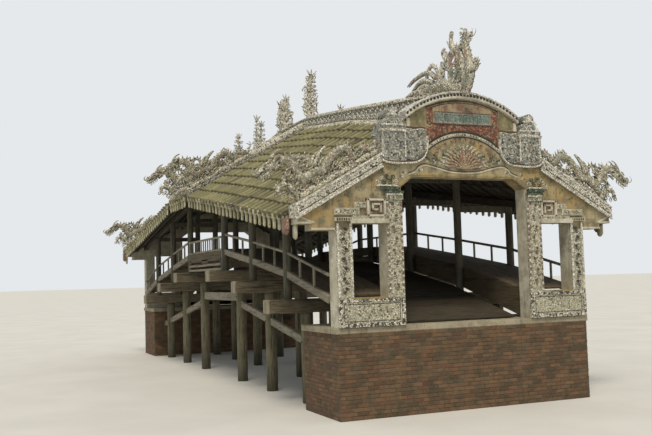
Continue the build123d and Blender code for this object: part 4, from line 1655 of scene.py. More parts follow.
@dataclass
class Dragons:
    """The dragons on the rakes, on the raking bands and on the ends of the ridge, and the flames between them."""

    palette: Palette
    unit: float = 0.0025
    rake_inset: float = 0.175
    flame_heights: tuple[float, ...] = (620, 500)
    spires: tuple[tuple[str, float, float, float, int], ...] = (
        ("spire_right", 0.96, 56, 500, 9),
        ("cluster_right", 1.57, 84, 390, 6),
        ("spire_left", -0.96, 56, 500, 9),
        ("cluster_left", -1.57, 84, 390, 6),
    )

    def upright(self, side: float, line: Callable[[float], float], y: float, start: float) -> Callable[..., Point]:
        """Return the places of a creature that stands along a raking line.

        Args:
            side: 1 or -1.
            line: The absolute height of the line by its distance from the middle.
            y: The plane in which it stands.
            start: Where it counts from, from the middle of the bridge.

        Returns:
            A call from inwards, up and offset to a point.
        """
        unit = self.unit
        return lambda a, b, offset: (side * (start - a * unit), y + offset, line(start - a * unit) + b * unit)

    def along(self, end: float) -> Callable[..., Point]:
        """Return the places of a creature that stands on the end of the ridge.

        Args:
            end: 1 or -1.

        Returns:
            A call from inwards, up and offset to a point.
        """
        half, unit = LINES.half_length, self.unit
        return lambda a, b, offset: (offset, end * (half - a * unit), LINES.ridge_top(half - a * unit) + b * unit)

    def build(self) -> None:
        """Model all the creatures at both ends."""
        across = (0.0, 1.0, 0.0)
        rows = (
            ("rake_dragon", LINES.rake, LINES.half_length - self.rake_inset),
            ("middle_dragon", LINES.middle_rake, LINES.roof_break),
        )
        for end, flame_height in zip(End, self.flame_heights):
            label = end.name.lower()
            seed = 450 + 50 * end.value
            for number, (kind, line, y) in enumerate(rows):
                for side in Side:
                    at = self.upright(side.value, line, end.value * y, LINES.gable)
                    name = f"{kind}_{label}_{side.name.lower()}"
                    dragon = RakeDragon(self.palette, name, at, across, seed + number + side.value, "mosaic_aged")
                    dragon.make(f"{kind}s_{label}")
            name = f"ridge_dragon_beast_{label}"
            dragon = RidgeDragon(self.palette, name, self.along(end.value), (1.0, 0.0, 0.0), seed + 9)
            dragon.make(f"ridge_dragon_{label}")
            for name, start, *sizes in (("flame", 0.0, 128, flame_height, 9), *self.spires):
                foot = LINES.middle_rake(start) - 0.05 if start else LINES.ridge_top(LINES.roof_break) - 0.02
                at = self.upright(1.0, lambda x, foot=foot: foot, end.value * LINES.roof_break, start)
                bush = Bush(self.palette, f"{name}_{label}", at, across, seed + 20)
                bush.spread, bush.height, bush.levels = sizes
                bush.make()


@dataclass
class RidgeDress:
    """The mosaic scrolls, beads and hanging edge of the ridge band and the raking bands."""

    palette: Palette
    half_width: float = 0.14
    bead: float = 0.035
    scroll: float = 0.26
    hem_steps: int = 150
    rake_scrolls: int = 17
    rake_face: float = 0.122

    def scroll_shape(self) -> Shape:
        """Cut a flat scroll with a leaf, a metre long and high, facing +Z.

        Returns:
            The scroll.
        """
        shape = Shape()
        out = (0.0, 0.0, 1.0)
        for centre, size, start, turns in (((-0.18, 0.08), 0.34, 3.6, 1.4), ((0.28, -0.12), 0.24, 0.4, -1.3)):
            path = [(*p, 0.0) for p in spiral(centre, size, turns, start, 9)]
            shape.tube(path, [0.084] * 7 + [0.068, 0.055, 0.045], 4, 0.5, 1.2, out)
        for line in (((0.1, 0.34), (0.34, 0.4), (0.48, 0.24)), ((-0.5, -0.3), (-0.2, -0.42), (0.06, -0.34))):
            shape.tube([(*p, 0.0) for p in smooth_path(line, 2)], [0.05, 0.09, 0.1, 0.08, 0.02], 4, 0.5, 1.0, out)
        return shape

    def set_scrolls(self, name: str, seed: int, places: Sequence[Place]) -> None:
        """Set the scroll on its places."""
        Repeater(name, seed, 0.08, 0.08).run(self.scroll_shape(), places, self.palette["mosaic_white"], "mosaic", True)

    def ridge(self) -> None:
        """Dress the ridge band with a bead on top, scrolls on both sides and beads at its foot."""
        shape = Shape()
        bends = (-LINES.wall, -LINES.stations[1], -LINES.roof_break, LINES.roof_break, LINES.stations[1], LINES.wall)
        shape.tube([(0.0, y, LINES.ridge_top(y)) for y in bends], [0.07] * len(bends), 10, 0.5, 1.0, (0.0, 0.0, 1.0))
        places = []
        for hand in (-1, 1):
            x = hand * (self.half_width + 0.004)
            heads = [(x, y, LINES.ridge_top(y) - 0.03) for y in bends]
            feet = [(x, y, LINES.roof(self.half_width, y) + 0.05) for y in bends]
            for line, radius in ((heads, self.bead), (feet, self.bead * 1.1)):
                shape.tube(line, [radius] * len(line), 8, 0.5, 1.0, (1.0, 0.0, 0.0))
            for a, b in zip(bends, bends[1:]):
                count = round((b - a) / self.scroll)
                for k in range(count):
                    y = a + (b - a) * (k + 0.5) / count
                    foot = LINES.roof(self.half_width, y) + 0.05
                    room = LINES.ridge_top(y) - foot - 0.05
                    slope = (LINES.ridge_top(y + 0.05) - LINES.ridge_top(y - 0.05)) / 0.1
                    along, up = Vector((0.0, 1.0, slope)) * (-1 if k % 2 else 1) * hand, Vector((0.0, -slope, 1.0))
                    turn = facing(along, up, Vector((hand, 0, 0)))
                    size = (self.scroll * 1.05, max(0.18, room), 0.30)
                    places.append((Vector((x, y, foot + room / 2)), turn, size, 0.5))
        ride(shape.make("ridge_beads", self.palette["mosaic_pale"], True), "mosaic")
        self.set_scrolls("ridge_scrolls", 61, places)
        self.hem()

    def hem(self) -> None:
        """Hang the pale mortar hem that runs down on the tiles beside the ridge band."""
        shape = Shape()
        chance = random.Random(77)
        inner, end = self.half_width - 0.02, LINES.wall - 0.02
        for hand in (-1, 1):
            rings = []
            for k in range(self.hem_steps + 1):
                y = -end + 2 * end * k / self.hem_steps
                reach = self.half_width + 0.1 + 0.05 * abs(y) / LINES.wall + chance.uniform(-0.02, 0.03)
                section = ((inner, 0.1), (self.half_width + 0.05, 0.115), (reach, 0.07), (reach, -0.03), (inner, -0.03))
                rings.append([(hand * x, y, LINES.roof(x, y) + up) for x, up in section])
            shape.loft(rings)
        ride(shape.make("ridge_hem", self.palette["mosaic_pale"]), "mosaic")

    def raking(self) -> None:
        """Dress the raking bands with a bead along the top and small scrolls on both faces."""
        shape = Shape()
        places = []
        inner, room = self.half_width + 0.1, LINES.gable - self.half_width - 0.2
        for end in End:
            for side in Side:
                y = end.value * LINES.roof_break
                ends = (self.half_width, LINES.gable - 0.02)
                a, b = (Vector((side.value * x, y, LINES.middle_rake(x))) for x in ends)
                path = [tuple(a.lerp(b, t / 20)) for t in range(21)]
                shape.tube(path, [0.125 if t % 2 else 0.115 for t in range(21)], 10, 0.5, 0.45)
                slope = (b - a).normalized()
                for out in (Vector((0, -1, 0)), Vector((0, 1, 0))):
                    up = -slope.cross(out)
                    turn = Matrix((slope, up, out)).transposed()
                    if turn.determinant() < 0:
                        turn = Matrix((-slope, up, out)).transposed()
                    for k in range(self.rake_scrolls):
                        x = inner + room * k / (self.rake_scrolls - 1)
                        place = Vector((side.value * x, y + out.y * self.rake_face, LINES.middle_rake(x) - 0.07))
                        places.append((place, turn, (0.19, 0.14, 0.22), 0.5))
        ride(shape.make("raking_beads", self.palette["mosaic_pale"], True), "mosaic")
        self.set_scrolls("raking_scrolls", 63, places)

    def build(self) -> None:
        """Dress the ridge and the raking bands."""
        self.ridge()
        self.raking()


@dataclass
class Relief:
    """Ornament drawn on the near portal's +X half in metres above the approach, and set on all four quarters."""

    palette: Palette
    parts: dict[str, Shape] = field(default_factory=dict)

    def shape(self, key: str) -> Shape:
        """Return the shape that gathers one finish."""
        return self.parts.setdefault(key, Shape())

    def plate(self, key: str, outline: Sequence[Flat], face: float, proud: float, bevel: float = 0.008) -> None:
        """Set a flat piece with a bevelled edge.

        Args:
            key: Its finish.
            outline: Its corners across and up.
            face: How far the face behind it is from the middle of the bridge.
            proud: How far it stands out.
            bevel: Its bevel.
        """
        mid = [sum(p[k] for p in outline) / len(outline) for k in (0, 1)]
        size = max(math.dist(p, mid) for p in outline)
        rings = []
        for out, shrink in ((-0.01, 1.0), (proud - bevel, 1.0), (proud, 1 - bevel / size)):
            ring = [(mid[0] + (x - mid[0]) * shrink, mid[1] + (z - mid[1]) * shrink) for x, z in outline]
            rings.append([(x, -face - out, LINES.approach + z) for x, z in ring])
        self.shape(key).loft(rings)

    def bar(
        self, key: str, x0: float, x1: float, z0: float, z1: float, face: float, proud: float, bevel: float = 0.008
    ) -> None:
        """Set a straight bar or panel by its limits."""
        self.plate(key, ((x0, z0), (x1, z0), (x1, z1), (x0, z1)), face, proud, bevel)

    def bead(self, key: str, x: float, z: float, half: Flat, face: float, proud: float = 0.012) -> None:
        """Set a small block about a centre, by half its width and height."""
        self.bar(key, x - half[0], x + half[0], z - half[1], z + half[1], face, proud, 0.004)

    def stroke(
        self,
        key: str,
        points: Sequence[Flat],
        width: float,
        face: float,
        tip: float = 1.0,
        flat: float = 0.8,
        steps: int = 4,
    ) -> None:
        """Set a rounded bar along a smooth line, half sunk in a face.

        Args:
            key: Its finish.
            points: Its line across and up.
            width: Its width.
            face: How far the face behind it is from the middle of the bridge.
            tip: Its width at the end over the width.
            flat: Its depth over its width.
            steps: Points between two of the line, 0 for a line that is smooth already.
        """
        line = smooth_path(points, steps) if steps else list(points)
        last = max(1, len(line) - 1)
        radii = [width / 2 * (1 + (tip - 1) * k / last) for k in range(len(line))]
        path = [(x, -face, LINES.approach + z) for x, z in line]
        self.shape(key).tube(path, radii, 5 if width < 0.04 else 6, 0.5, flat)

    def scroll(self, key: str, x: float, z: float, size: float, face: float, start: float, turns: float = 1.4) -> None:
        """Set a scroll about a centre."""
        self.stroke(key, spiral((x, z), size, turns, start, 10), size * 0.36, face, 0.6, 0.8, 0)

    def sprig(self, key: str, x: float, z: float, size: float, face: float, turn: float) -> None:
        """Set a small flower sprig: a stem, leaves in pairs and a bud.

        Args:
            key: Its finish.
            x: Its root across.
            z: Its root's height.
            size: Its height.
            face: How far the face behind it is from the middle of the bridge.
            turn: Which way it grows, in degrees.
        """
        cos, sin = math.cos(math.radians(turn)), math.sin(math.radians(turn))
        lines = [(((0.0, 0.0), (0.4, 0.08), (0.75, 0.0)), 0.07, 0.7, 0.8, 1)]
        for u, reach in ((0.12, 0.30), (0.36, 0.34), (0.58, 0.24)):
            for hand in (-1, 1):
                lines.append((((u, 0.0), (u + 0.12, hand * reach * 0.6), (u + 0.1, hand * reach)), 0.13, 0.25, 0.6, 2))
        for way in (math.radians(-72 + 36 * k) for k in range(5)):
            lines.append((((0.75, 0.0), (0.75 + 0.22 * math.cos(way), 0.22 * math.sin(way))), 0.14, 0.6, 0.7, 1))
        for line, width, *look in lines:
            spots = [(x + size * (u * cos - v * sin), z + size * (u * sin + v * cos)) for u, v in line]
            self.stroke(key, spots, size * width, face, *look)

    def finish(self, name: str) -> None:
        """Set the ornament on both sides of both portals.

        Args:
            name: What the pieces' names start with.
        """
        for key, shape in self.parts.items():
            near = Shape().joined(shape, shape.mirrored(0))
            for end, whole in (("near", near), ("far", near.mirrored(1))):
                slot = "plaster" if key.startswith("plaster") else "mosaic"
                ride(whole.make(f"{name}_{key}_{end}", self.palette[key]), slot)


@dataclass
class Arch:
    """A segmental arch over the doorway: its half width, rise and crown."""

    half: float
    rise: float
    crown: float

    def at(self, x: float, lift: float = 0.0) -> float:
        """Return its height at a distance from the middle."""
        radius = (self.half**2 + self.rise**2) / (2 * self.rise)
        return self.crown + lift - radius + math.sqrt(max(0.0, radius * radius - x * x))

    def line(self, reach: float, lift: float, steps: int) -> list[Flat]:
        """Return points along it from the middle outwards."""
        return [(reach * k / steps, self.at(reach * k / steps, lift)) for k in range(steps + 1)]


@dataclass
class Portal(Relief):
    """The ornament of the portals: copings, arches, name panel, relief, capitals, pilasters and dado."""

    face: float = 9.375
    pilaster: float = 9.415
    capital: float = 9.465
    coping: float = 9.435
    upper: Arch = field(default_factory=lambda: Arch(1.34, 0.46, 4.54))
    lower: Arch = field(default_factory=lambda: Arch(0.95, 0.40, 3.86))
    lower_reach: float = 0.86
    coping_scrolls: int = 15
    dentils: int = 17
    lower_dentils: int = 12
    finial: Flat = (1.62, 3.94)
    dado: tuple[float, ...] = (1.52, 2.87)
    dado_scrolls: int = 19

    def chips(self, k: int) -> str:
        """Return white and black in turn."""
        return "mosaic_white" if k % 2 else "mosaic_dark"

    def copings(self) -> None:
        """Run scrolls and edge beads along the raking copings."""
        face, low = self.coping, LINES.approach
        top = [(x, LINES.rake(x) - low) for x in (LINES.shoulder_outer - 0.02, 2.5, 3.1, LINES.gable)]
        for drop, width in ((0.0, 0.045), (-0.25, 0.05), (-0.205, 0.03)):
            self.stroke("mosaic_white", [(x, z + drop - 0.02) for x, z in top], width, face - 0.005, 1.0, 1.0, 2)
        self.stroke("mosaic_dark", [(x, z - 0.185) for x, z in top], 0.014, face, 1.0, 1.0, 2)
        for k in range(self.coping_scrolls):
            x = 1.98 + (LINES.gable - 2.04) * k / (self.coping_scrolls - 1)
            z = LINES.rake(x) - low - 0.105
            self.scroll("mosaic_white", x, z, 0.075, face, 2.6 + math.pi * (k % 2), 1.5 * (1 if k % 2 else -1))
            comma = [(x + 0.03, z - 0.05), (x + 0.06, z), (x + 0.035, z + 0.055)]
            self.stroke("mosaic_dark", comma, 0.022, face, 0.4, 0.6, 2)
        x = LINES.gable - 0.03
        z = LINES.rake(x) - low - 0.17
        hook = [(x - 0.30, z + 0.09), (x - 0.12, z - 0.03), (x - 0.01, z - 0.02), (x - 0.02, z + 0.09)]
        self.stroke("mosaic_white", hook, 0.07, face + 0.005, 0.5)
        self.stroke("plaster_white", [(x - 0.34, 2.0), (x - 0.2, 2.05), (x - 0.04, 2.14)], 0.05, self.face, 0.8)
        for x0, x1, z in ((LINES.half_width + 0.01, 3.41, 1.875), (3.39, 3.69, 1.995)):
            self.bar("plaster_white", x0, x1, z - 0.012, z + 0.03, self.face, 0.018)

    def arches(self) -> None:
        """Mould the two arches: a pale roll, a thin dark line and dark dentils."""
        rows = ((0.135, 0.05, "mosaic_white"), (0.03, 0.055, "plaster_white"), (-0.035, 0.03, "mosaic_dark"))
        for lift, width, key in rows:
            line = self.upper.line(self.upper.half, lift, 16)
            self.stroke(key, line, width, self.coping if lift > 0 else self.face, 1.0, 0.8, 0)
        for k in range(self.dentils):
            x = self.upper.half * (k + 0.5) / self.dentils
            self.bead("mosaic_dark", x, self.upper.at(x, 0.082), (0.021, 0.024), self.coping, 0.018)
        rows = ((0.0, 0.04, "mosaic_dark"), (-0.055, 0.07, "plaster_white"), (-0.105, 0.024, "mosaic_dark"))
        for lift, width, key in rows:
            line = self.lower.line(self.lower_reach, lift, 16)
            line += [(0.93, line[-1][1] - 0.05), (1.02, line[-1][1] - 0.12)]
            self.stroke(key, line, width, self.face, 1.0, 0.8, 0)
        for k in range(self.lower_dentils):
            x = self.lower_reach * (k + 0.5) / self.lower_dentils
            self.bead("mosaic_border", x, self.lower.at(x, -0.055), (0.018, 0.018), self.face + 0.025)

    def panel(self) -> None:
        """Fill the arch: an iron-red field, a teal fretwork band and a tan field above it."""
        face = self.face
        foot, top = self.lower.line(0.84, 0.03, 10), self.upper.line(0.84, -0.07, 10)
        self.plate("mosaic_red", foot + top[::-1], face, 0.012, 0.004)
        top = self.upper.line(0.70, -0.09, 10)
        self.plate("plaster_tan", [(0.0, 4.02), (0.70, 4.02)] + top[::-1], face, 0.024, 0.004)
        self.bar("mosaic_board", 0.0, 0.66, 4.02, 4.24, face, 0.032, 0.004)
        for z in (4.01, 4.25):
            self.stroke("mosaic_brown", [(0.0, z), (0.34, z), (0.67, z)], 0.016, face + 0.03)
        for k in range(6):
            x = 0.055 + 0.112 * k
            fret = [(x - 0.035, 4.05), (x - 0.035, 4.21), (x + 0.035, 4.21), (x + 0.035, 4.09), (x, 4.09), (x, 4.16)]
            for line in zip(fret, fret[1:]):
                self.stroke("mosaic_teal" if k % 3 else "mosaic_deep", line, 0.022, face + 0.034, 1.0, 1.0, 1)
        for k in range(5):
            key = "mosaic_rust" if k % 2 else "plaster_olive"
            self.sprig(key, 0.08 + 0.14 * k, 4.27, 0.11 * (1 - 0.06 * k), face + 0.022, 70 + 12 * k)
        for x, z in ((0.77, 4.24), (0.77, 4.08), (0.77, 3.92), (0.60, 3.93), (0.42, 3.95), (0.24, 3.97), (0.08, 3.97)):
            self.sprig("mosaic_rust", x, z - 0.04, 0.10, face + 0.01, 60 + 90 * x)

    def flower(self) -> None:
        """Model the flower over the doorway: five rings of petals, each on the one before."""
        root = 3.10
        for count, inner, reach, width, key, proud in (
            (9, 0.30, 0.50, 0.050, "mosaic_dado", 0.0),
            (8, 0.20, 0.43, 0.042, "mosaic_rust", 0.008),
            (7, 0.12, 0.34, 0.050, "mosaic_cream", 0.016),
            (6, 0.06, 0.24, 0.040, "mosaic_rust", 0.024),
            (5, 0.0, 0.15, 0.045, "mosaic_cream", 0.032),
        ):
            for k in range(count):
                way = math.radians(8 + 82 * (k + 0.5 * (count % 2 == 0)) / (count - 1))
                spots = ((inner, way), ((inner + reach) / 2, way + 0.05), (reach, way - 0.03))
                petal = [(x * 1.15 * math.cos(a), root + x * math.sin(a)) for x, a in spots]
                self.stroke(key, petal, width, self.face + proud, 0.8, 0.8, 3)

    def leaves(self) -> None:
        """Model the leaves and scrolls round the flower and the lines that frame it."""
        face = self.face
        for k in range(10):
            x = 0.34 + 0.055 * k
            z = 3.20 + 0.05 * math.sin(1.7 * k) + 0.05 * (k % 3) * (1 - k / 12)
            key = "mosaic_green" if k % 3 else "mosaic_white"
            self.sprig(key, x, z, 0.16 - 0.005 * k, face + 0.004, 10 + 33 * (k % 4))
            self.sprig("plaster_olive", x + 0.03, z + 0.05, 0.12, face, 200 - 41 * (k % 3))
        for x, z, size in (
            (0.62, 3.44, 0.06), (0.70, 3.34, 0.06), (0.56, 3.52, 0.05), (0.28, 3.62, 0.05),
            (0.42, 3.58, 0.055), (0.10, 3.68, 0.05), (0.20, 3.66, 0.05), (0.66, 3.24, 0.05),
        ):
            self.scroll("mosaic_rust", x, z, size, face, x * 9)
            self.sprig("mosaic_brown", x - 0.03, z - 0.02, 0.09, face, 120 - 200 * x)
        wave = ((0.0, 3.04), (0.33, 3.06), (0.62, 3.13), (0.90, 3.185), (1.06, 3.14), (1.14, 3.05), (1.30, 2.99))
        for drop, width, key in ((0.0, 0.024, "mosaic_brown"), (0.035, 0.035, "plaster_white")):
            self.stroke(key, [(x, z - drop) for x, z in wave], width, face)
        for x, z, size in ((1.00, 3.07, 0.045), (1.11, 2.99, 0.04), (1.36, 3.02, 0.045), (1.42, 2.94, 0.04)):
            self.scroll("mosaic_white", x, z, size, face, x * 7)
            self.scroll("mosaic_dark", x + 0.05, z - 0.02, size * 0.7, face, x * 3)
        self.stroke("plaster_ochre", [(0.0, 2.96), (0.6, 2.965), (1.20, 2.96)], 0.06, face, 1.0, 0.4)
        self.stroke("plaster_ochre", [(1.20, 2.96), (1.36, 2.84), (1.50, 2.74)], 0.05, face, 1.0, 0.4)
        for x, z, size, turn in (
            (1.62, 3.02, 0.16, 120), (1.86, 2.92, 0.17, 80), (2.10, 2.78, 0.16, 60), (2.36, 2.62, 0.14, 40),
            (2.6, 2.5, 0.13, 20),
        ):
            self.sprig("plaster_olive", x, z, size, face, turn)
        for x, z in ((1.52, 3.13), (1.74, 3.08), (1.96, 3.0)):
            self.scroll("plaster_olive", x, z, 0.05, face, x * 5)

    def shoulder(self) -> None:
        """Dress the shoulders and the mosaic between them and the lower arch."""
        face = self.face
        belly = smooth_path(((1.345, 3.28), (1.16, 3.24), (1.0, 3.30), (0.90, 3.44), (0.875, 3.58)), 4)
        self.plate("mosaic_blue", [(1.345, 3.86), (1.345, 3.28)] + belly[1:] + [(0.875, 3.86)], face, 0.03, 0.006)
        rim = (
            (0.86, 3.74), (0.865, 3.56), (0.90, 3.40), (1.0, 3.27), (1.16, 3.20), (1.34, 3.185), (1.62, 3.175),
            (1.84, 3.21), (1.93, 3.30),
        )
        self.stroke("mosaic_white", rim, 0.045, face + 0.045, 1.0, 1.6)
        self.stroke("mosaic_brown", [(x, z + 0.04) for x, z in rim], 0.02, face + 0.055, 1.0, 1.2)
        for z, key in ((3.87, "mosaic_white"), (3.90, "mosaic_brown")):
            self.stroke(key, [(0.88, z), (1.0, z + 0.015), (1.12, z - 0.01), (1.33, z + 0.01)], 0.03, face + 0.02)
        x = self.finial[0]
        for z, half, width in ((3.82, 0.30, 0.06), (3.93, 0.27, 0.045), (4.13, 0.15, 0.05)):
            self.stroke("mosaic_white", [(x - half, z), (x, z + 0.015), (x + half, z)], width, self.coping, 1.0, 1.0)
        for x in (1.37, 1.87):
            self.stroke("mosaic_white", [(x, 3.3), (x, 3.55), (x, 3.8)], 0.035, self.coping)
        for k in range(3):
            for j in range(3):
                x, z, turn = 1.49 + 0.14 * k, 3.35 + 0.14 * j, 30 + 70 * ((k * 2 + j) % 4)
                self.sprig(self.chips(k + j + 1), x, z, 0.12, self.coping - 0.002, turn)
        for k in range(2):
            for j in range(4):
                turn = 20 + 80 * ((k + j) % 4)
                self.sprig(self.chips(k + j), 1.02 + 0.17 * k, 3.32 + 0.115 * j, 0.11, face + 0.028, turn)
        self.top()
        field_edge = [(0.88, 3.93), (1.22, 3.93), (1.22, 4.16), (1.08, 4.25), (0.88, 4.33)]
        self.bar("plaster_white", 1.235, 1.31, 3.92, 4.10, face, 0.03)
        self.plate("plaster_olive", field_edge, face, 0.012, 0.004)
        for line in zip(field_edge, field_edge[1:] + field_edge[:1]):
            self.stroke("plaster_tan", line, 0.024, face + 0.01, 1.0, 1.0, 1)
        for x, z, turn in ((0.98, 3.95, 80), (1.12, 3.95, 100), (1.20, 4.0, 60), (1.02, 4.12, 70)):
            self.sprig("plaster", x, z, 0.12, face + 0.012, turn)

    def top(self) -> None:
        """Set the finial's wheel of scrolls and its plume."""
        x, z = self.finial
        for way in (math.radians(-20 + 27.5 * k) for k in range(9)):
            spot = (x + 0.19 * math.cos(way), z + 0.19 * math.sin(way))
            self.scroll("mosaic_white", *spot, 0.05, self.coping, way, 1.3)
        self.scroll("mosaic_white", x, z + 0.03, 0.09, self.coping, 1.0, 1.6)
        for way in (math.radians(20 + 35 * k) for k in range(5)):
            cos, sin = math.cos(way), math.sin(way)
            plume = [(x, 4.16), (x + 0.08 * cos, 4.20 + 0.05 * sin), (x + 0.12 * cos, 4.19 + 0.10 * sin)]
            self.stroke("mosaic_white", plume, 0.045, self.coping, 0.4)

    def pilasters(self) -> None:
        """Dress the pilasters and the window's frame."""
        face = self.pilaster
        self.bar("mosaic_white", 2.585, 2.635, 0.57, 1.99, face, 0.012)
        self.bar("mosaic_white", 2.86, 2.905, 0.57, 2.0, face, 0.012)
        self.bar("mosaic_dado", 1.54, 1.78, 0.6, 2.43, face, 0.008)
        for x in (1.505, 1.805):
            for k in range(31):
                self.bead("mosaic_rust" if k % 2 else "mosaic_white", x, 0.60 + 0.06 * k, (0.02, 0.022), face)
        for k in range(8):
            self.sprig("mosaic_brown", 1.66, 0.66 + 0.225 * k, 0.17, face + 0.006, 90 + 16 * (-1) ** k)
        for k in range(7):
            z, hand = 0.62 + 0.19 * k, (-1) ** k
            self.sprig("mosaic_dark", 2.745 + 0.035 * hand, z, 0.17, face, 90 + 24 * hand)
            self.scroll("mosaic_dark", 2.745 - 0.045 * hand, z + 0.1, 0.04, face, k)
        self.bar("plaster_white", 1.80, 2.62, 1.985, 2.075, face, 0.055)
        self.bar("plaster_white", 2.56, 2.95, 2.03, 2.10, face, 0.045)
        for x in (2.60 + 0.048 * k for k in range(7)):
            self.bar("mosaic_dark", x, x + 0.026, 2.04, 2.085, face + 0.045, 0.008, 0.002)

    def frets(self) -> None:
        """Set the fret bars over the window and the small panels beside them."""
        for x0, x1, z0, z1 in (
            (1.84, 1.885, 2.12, 2.47), (2.20, 2.25, 2.12, 2.47), (1.84, 2.25, 2.12, 2.16), (1.84, 2.25, 2.43, 2.47),
            (1.93, 1.965, 2.20, 2.38), (1.93, 2.13, 2.345, 2.38), (2.10, 2.135, 2.24, 2.38), (2.0, 2.135, 2.24, 2.275),
        ):
            self.bar("mosaic_rust", x0 - 0.012, x1 + 0.012, z0 - 0.012, z1 + 0.012, self.face, 0.012, 0.002)
            self.bar("plaster_white", x0, x1, z0, z1, self.face, 0.05, 0.01)
        for x0, x1, z0, z1 in ((2.26, 2.52, 2.285, 2.40), (2.40, 2.94, 2.15, 2.285)):
            self.bar("plaster_white", x0, x1, z0, z1, self.face, 0.035, 0.01)
            self.bar("mosaic_dado", x0 + 0.02, x1 - 0.02, z0 + 0.02, z1 - 0.02, self.face + 0.03, 0.012, 0.004)
            for k in range(int((x1 - x0 - 0.05) / 0.1)):
                self.scroll("mosaic_dark", x0 + 0.07 + 0.1 * k, (z0 + z1) / 2, 0.034, self.face + 0.04, k)

    def capitals(self) -> None:
        """Set the capital of the pilaster and the scrolls above it."""
        self.bar("mosaic_green", 1.46, 1.86, 2.575, 2.625, self.capital, 0.02)
        self.bar("mosaic_white", 1.48, 1.84, 2.535, 2.575, self.capital, 0.012)
        for k in range(4):
            self.scroll("mosaic_green", 1.53 + 0.085 * k, 2.49, 0.038, self.capital, k * 1.5, 1.3)
        self.bar("mosaic_green", 1.52, 1.93, 2.64, 2.70, self.face, 0.07)
        self.bar("mosaic_white", 1.56, 2.04, 2.715, 2.745, self.face, 0.05)
        spots = ((1.58, 2.80), (1.72, 2.80), (1.86, 2.80), (1.99, 2.80), (1.64, 2.90), (1.78, 2.90), (1.92, 2.89))
        for k, (x, z) in enumerate(spots):
            self.scroll("mosaic_green" if k % 3 else "mosaic_white", x, z, 0.058, self.face + 0.01, 1.3 * k)

    def dados(self) -> None:
        """Frame the dado with a border, small scrolls on it and a thin dark line inside."""
        face, (left, right) = self.pilaster, self.dado
        for z0, z1 in ((0.0, 0.07), (0.475, 0.53)):
            self.bar("mosaic_border", 1.485, 2.905, z0 + 0.004, z1, face, 0.014)
        for x0, x1 in ((1.485, 1.555), (2.835, 2.905)):
            self.bar("mosaic_border", x0, x1, 0.07, 0.475, face, 0.014)
        for k in range(self.dado_scrolls):
            for z in (0.037, 0.503):
                x = left + (right - left) * k / (self.dado_scrolls - 1)
                self.scroll(self.chips(k), x, z, 0.03, face + 0.012, k * 0.9, 1.1)
        for x in self.dado:
            for k in range(6):
                self.scroll(self.chips(k), x, 0.105 + 0.067 * k, 0.028, face + 0.012, k * 1.3, 1.1)
        a, b, c, d = (1.60, 0.11), (2.79, 0.11), (1.60, 0.435), (2.79, 0.435)
        for line in ((a, b), (c, d), (a, c), (b, d)):
            self.stroke("mosaic_dark", line, 0.014, face, 1.0, 0.8, 1)

    def build(self) -> None:
        """Dress both portals."""
        self.copings()
        self.arches()
        self.panel()
        self.flower()
        self.leaves()
        self.shoulder()
        self.pilasters()
        self.frets()
        self.capitals()
        self.dados()
        self.finish("portal")


@dataclass
class Masonry:
    """The bricks and coping stones of the two abutments."""

    palette: Palette
    run: float = 1.775
    coping: float = 0.12
    lip: float = 0.04
    brick: Point = (0.225, 0.065, 0.018)
    stone: Flat = (0.62, 0.02)
    joint: float = 0.011
    least: float = 0.03

    def block(self) -> Shape:
        """Cut a block a metre long and high with worn front edges, facing +Z.

        Returns:
            The block.
        """
        shape = Shape()
        rings = []
        for z, across, up in ((-0.5, 0.5, 0.5), (0.25, 0.5, 0.5), (0.5, 0.475, 0.42)):
            rings.append([(-across, -up, z), (across, -up, z), (across, up, z), (-across, up, z)])
        shape.loft(rings)
        return shape

    def wall(self, start: Vector, along: Vector, extent: Flat, size: Point, chance: random.Random) -> list[Place]:
        """Lay one face in running bond.

        Args:
            start: The lower corner where the courses start.
            along: The way the courses run.
            extent: The wall's length and height.
            size: A block's length, height and depth.
            chance: The source of the tints.

        Returns:
            The places of its blocks.
        """
        outward = along.cross(UP)
        turn = Matrix((along, UP, outward)).transposed()
        length, height = extent
        step = size[0] + self.joint
        courses = max(1, round(height / (size[1] + self.joint)))
        rise = height / courses
        places = []
        for row in range(courses):
            place = -step / 2 * (row % 2)
            while place < length - self.least:
                low, high = max(0.0, place), min(length, place + size[0])
                if high - low > self.least:
                    middle = start + along * ((low + high) / 2) + UP * ((row + 0.5) * rise)
                    middle += outward * chance.uniform(-0.003, 0.002)
                    places.append((middle, turn, (high - low, rise - self.joint, size[2]), chance.random()))
                place += step
        return places

    def build(self) -> None:
        """Lay both abutments, the far one turned half round."""
        top, outer = LINES.approach - self.coping, LINES.half_length
        stone = (self.stone[0], self.coping, self.stone[1])
        for end in End:
            chance = random.Random(700 + end.value)
            turned = -1 if end is End.FAR else 1
            for kind, finish, seed, wobble, size, low, height, lip in (
                ("bricks", "brick", 71, 0.012, self.brick, 0.0, top, 0.0),
                ("coping", "coping", 72, 0.004, stone, top, self.coping - 0.004, self.lip),
            ):
                half, inner = LINES.half_width + lip, outer - self.run - lip
                places = []
                for x, y, along, length in (
                    (-half, -outer, (1, 0, 0), 2 * half),
                    (half, -inner, (-1, 0, 0), 2 * half),
                    (half, -outer, (0, 1, 0), outer - inner),
                    (-half, -inner, (0, -1, 0), outer - inner),
                ):
                    start = Vector((x * turned, y * turned, low))
                    places += self.wall(start, Vector(along) * turned, (length, height), size, chance)
                repeater = Repeater(f"abutment_{kind}_{end.name.lower()}", seed, wobble, 0.01)
                repeater.run(self.block(), places, self.palette[finish], "brick")


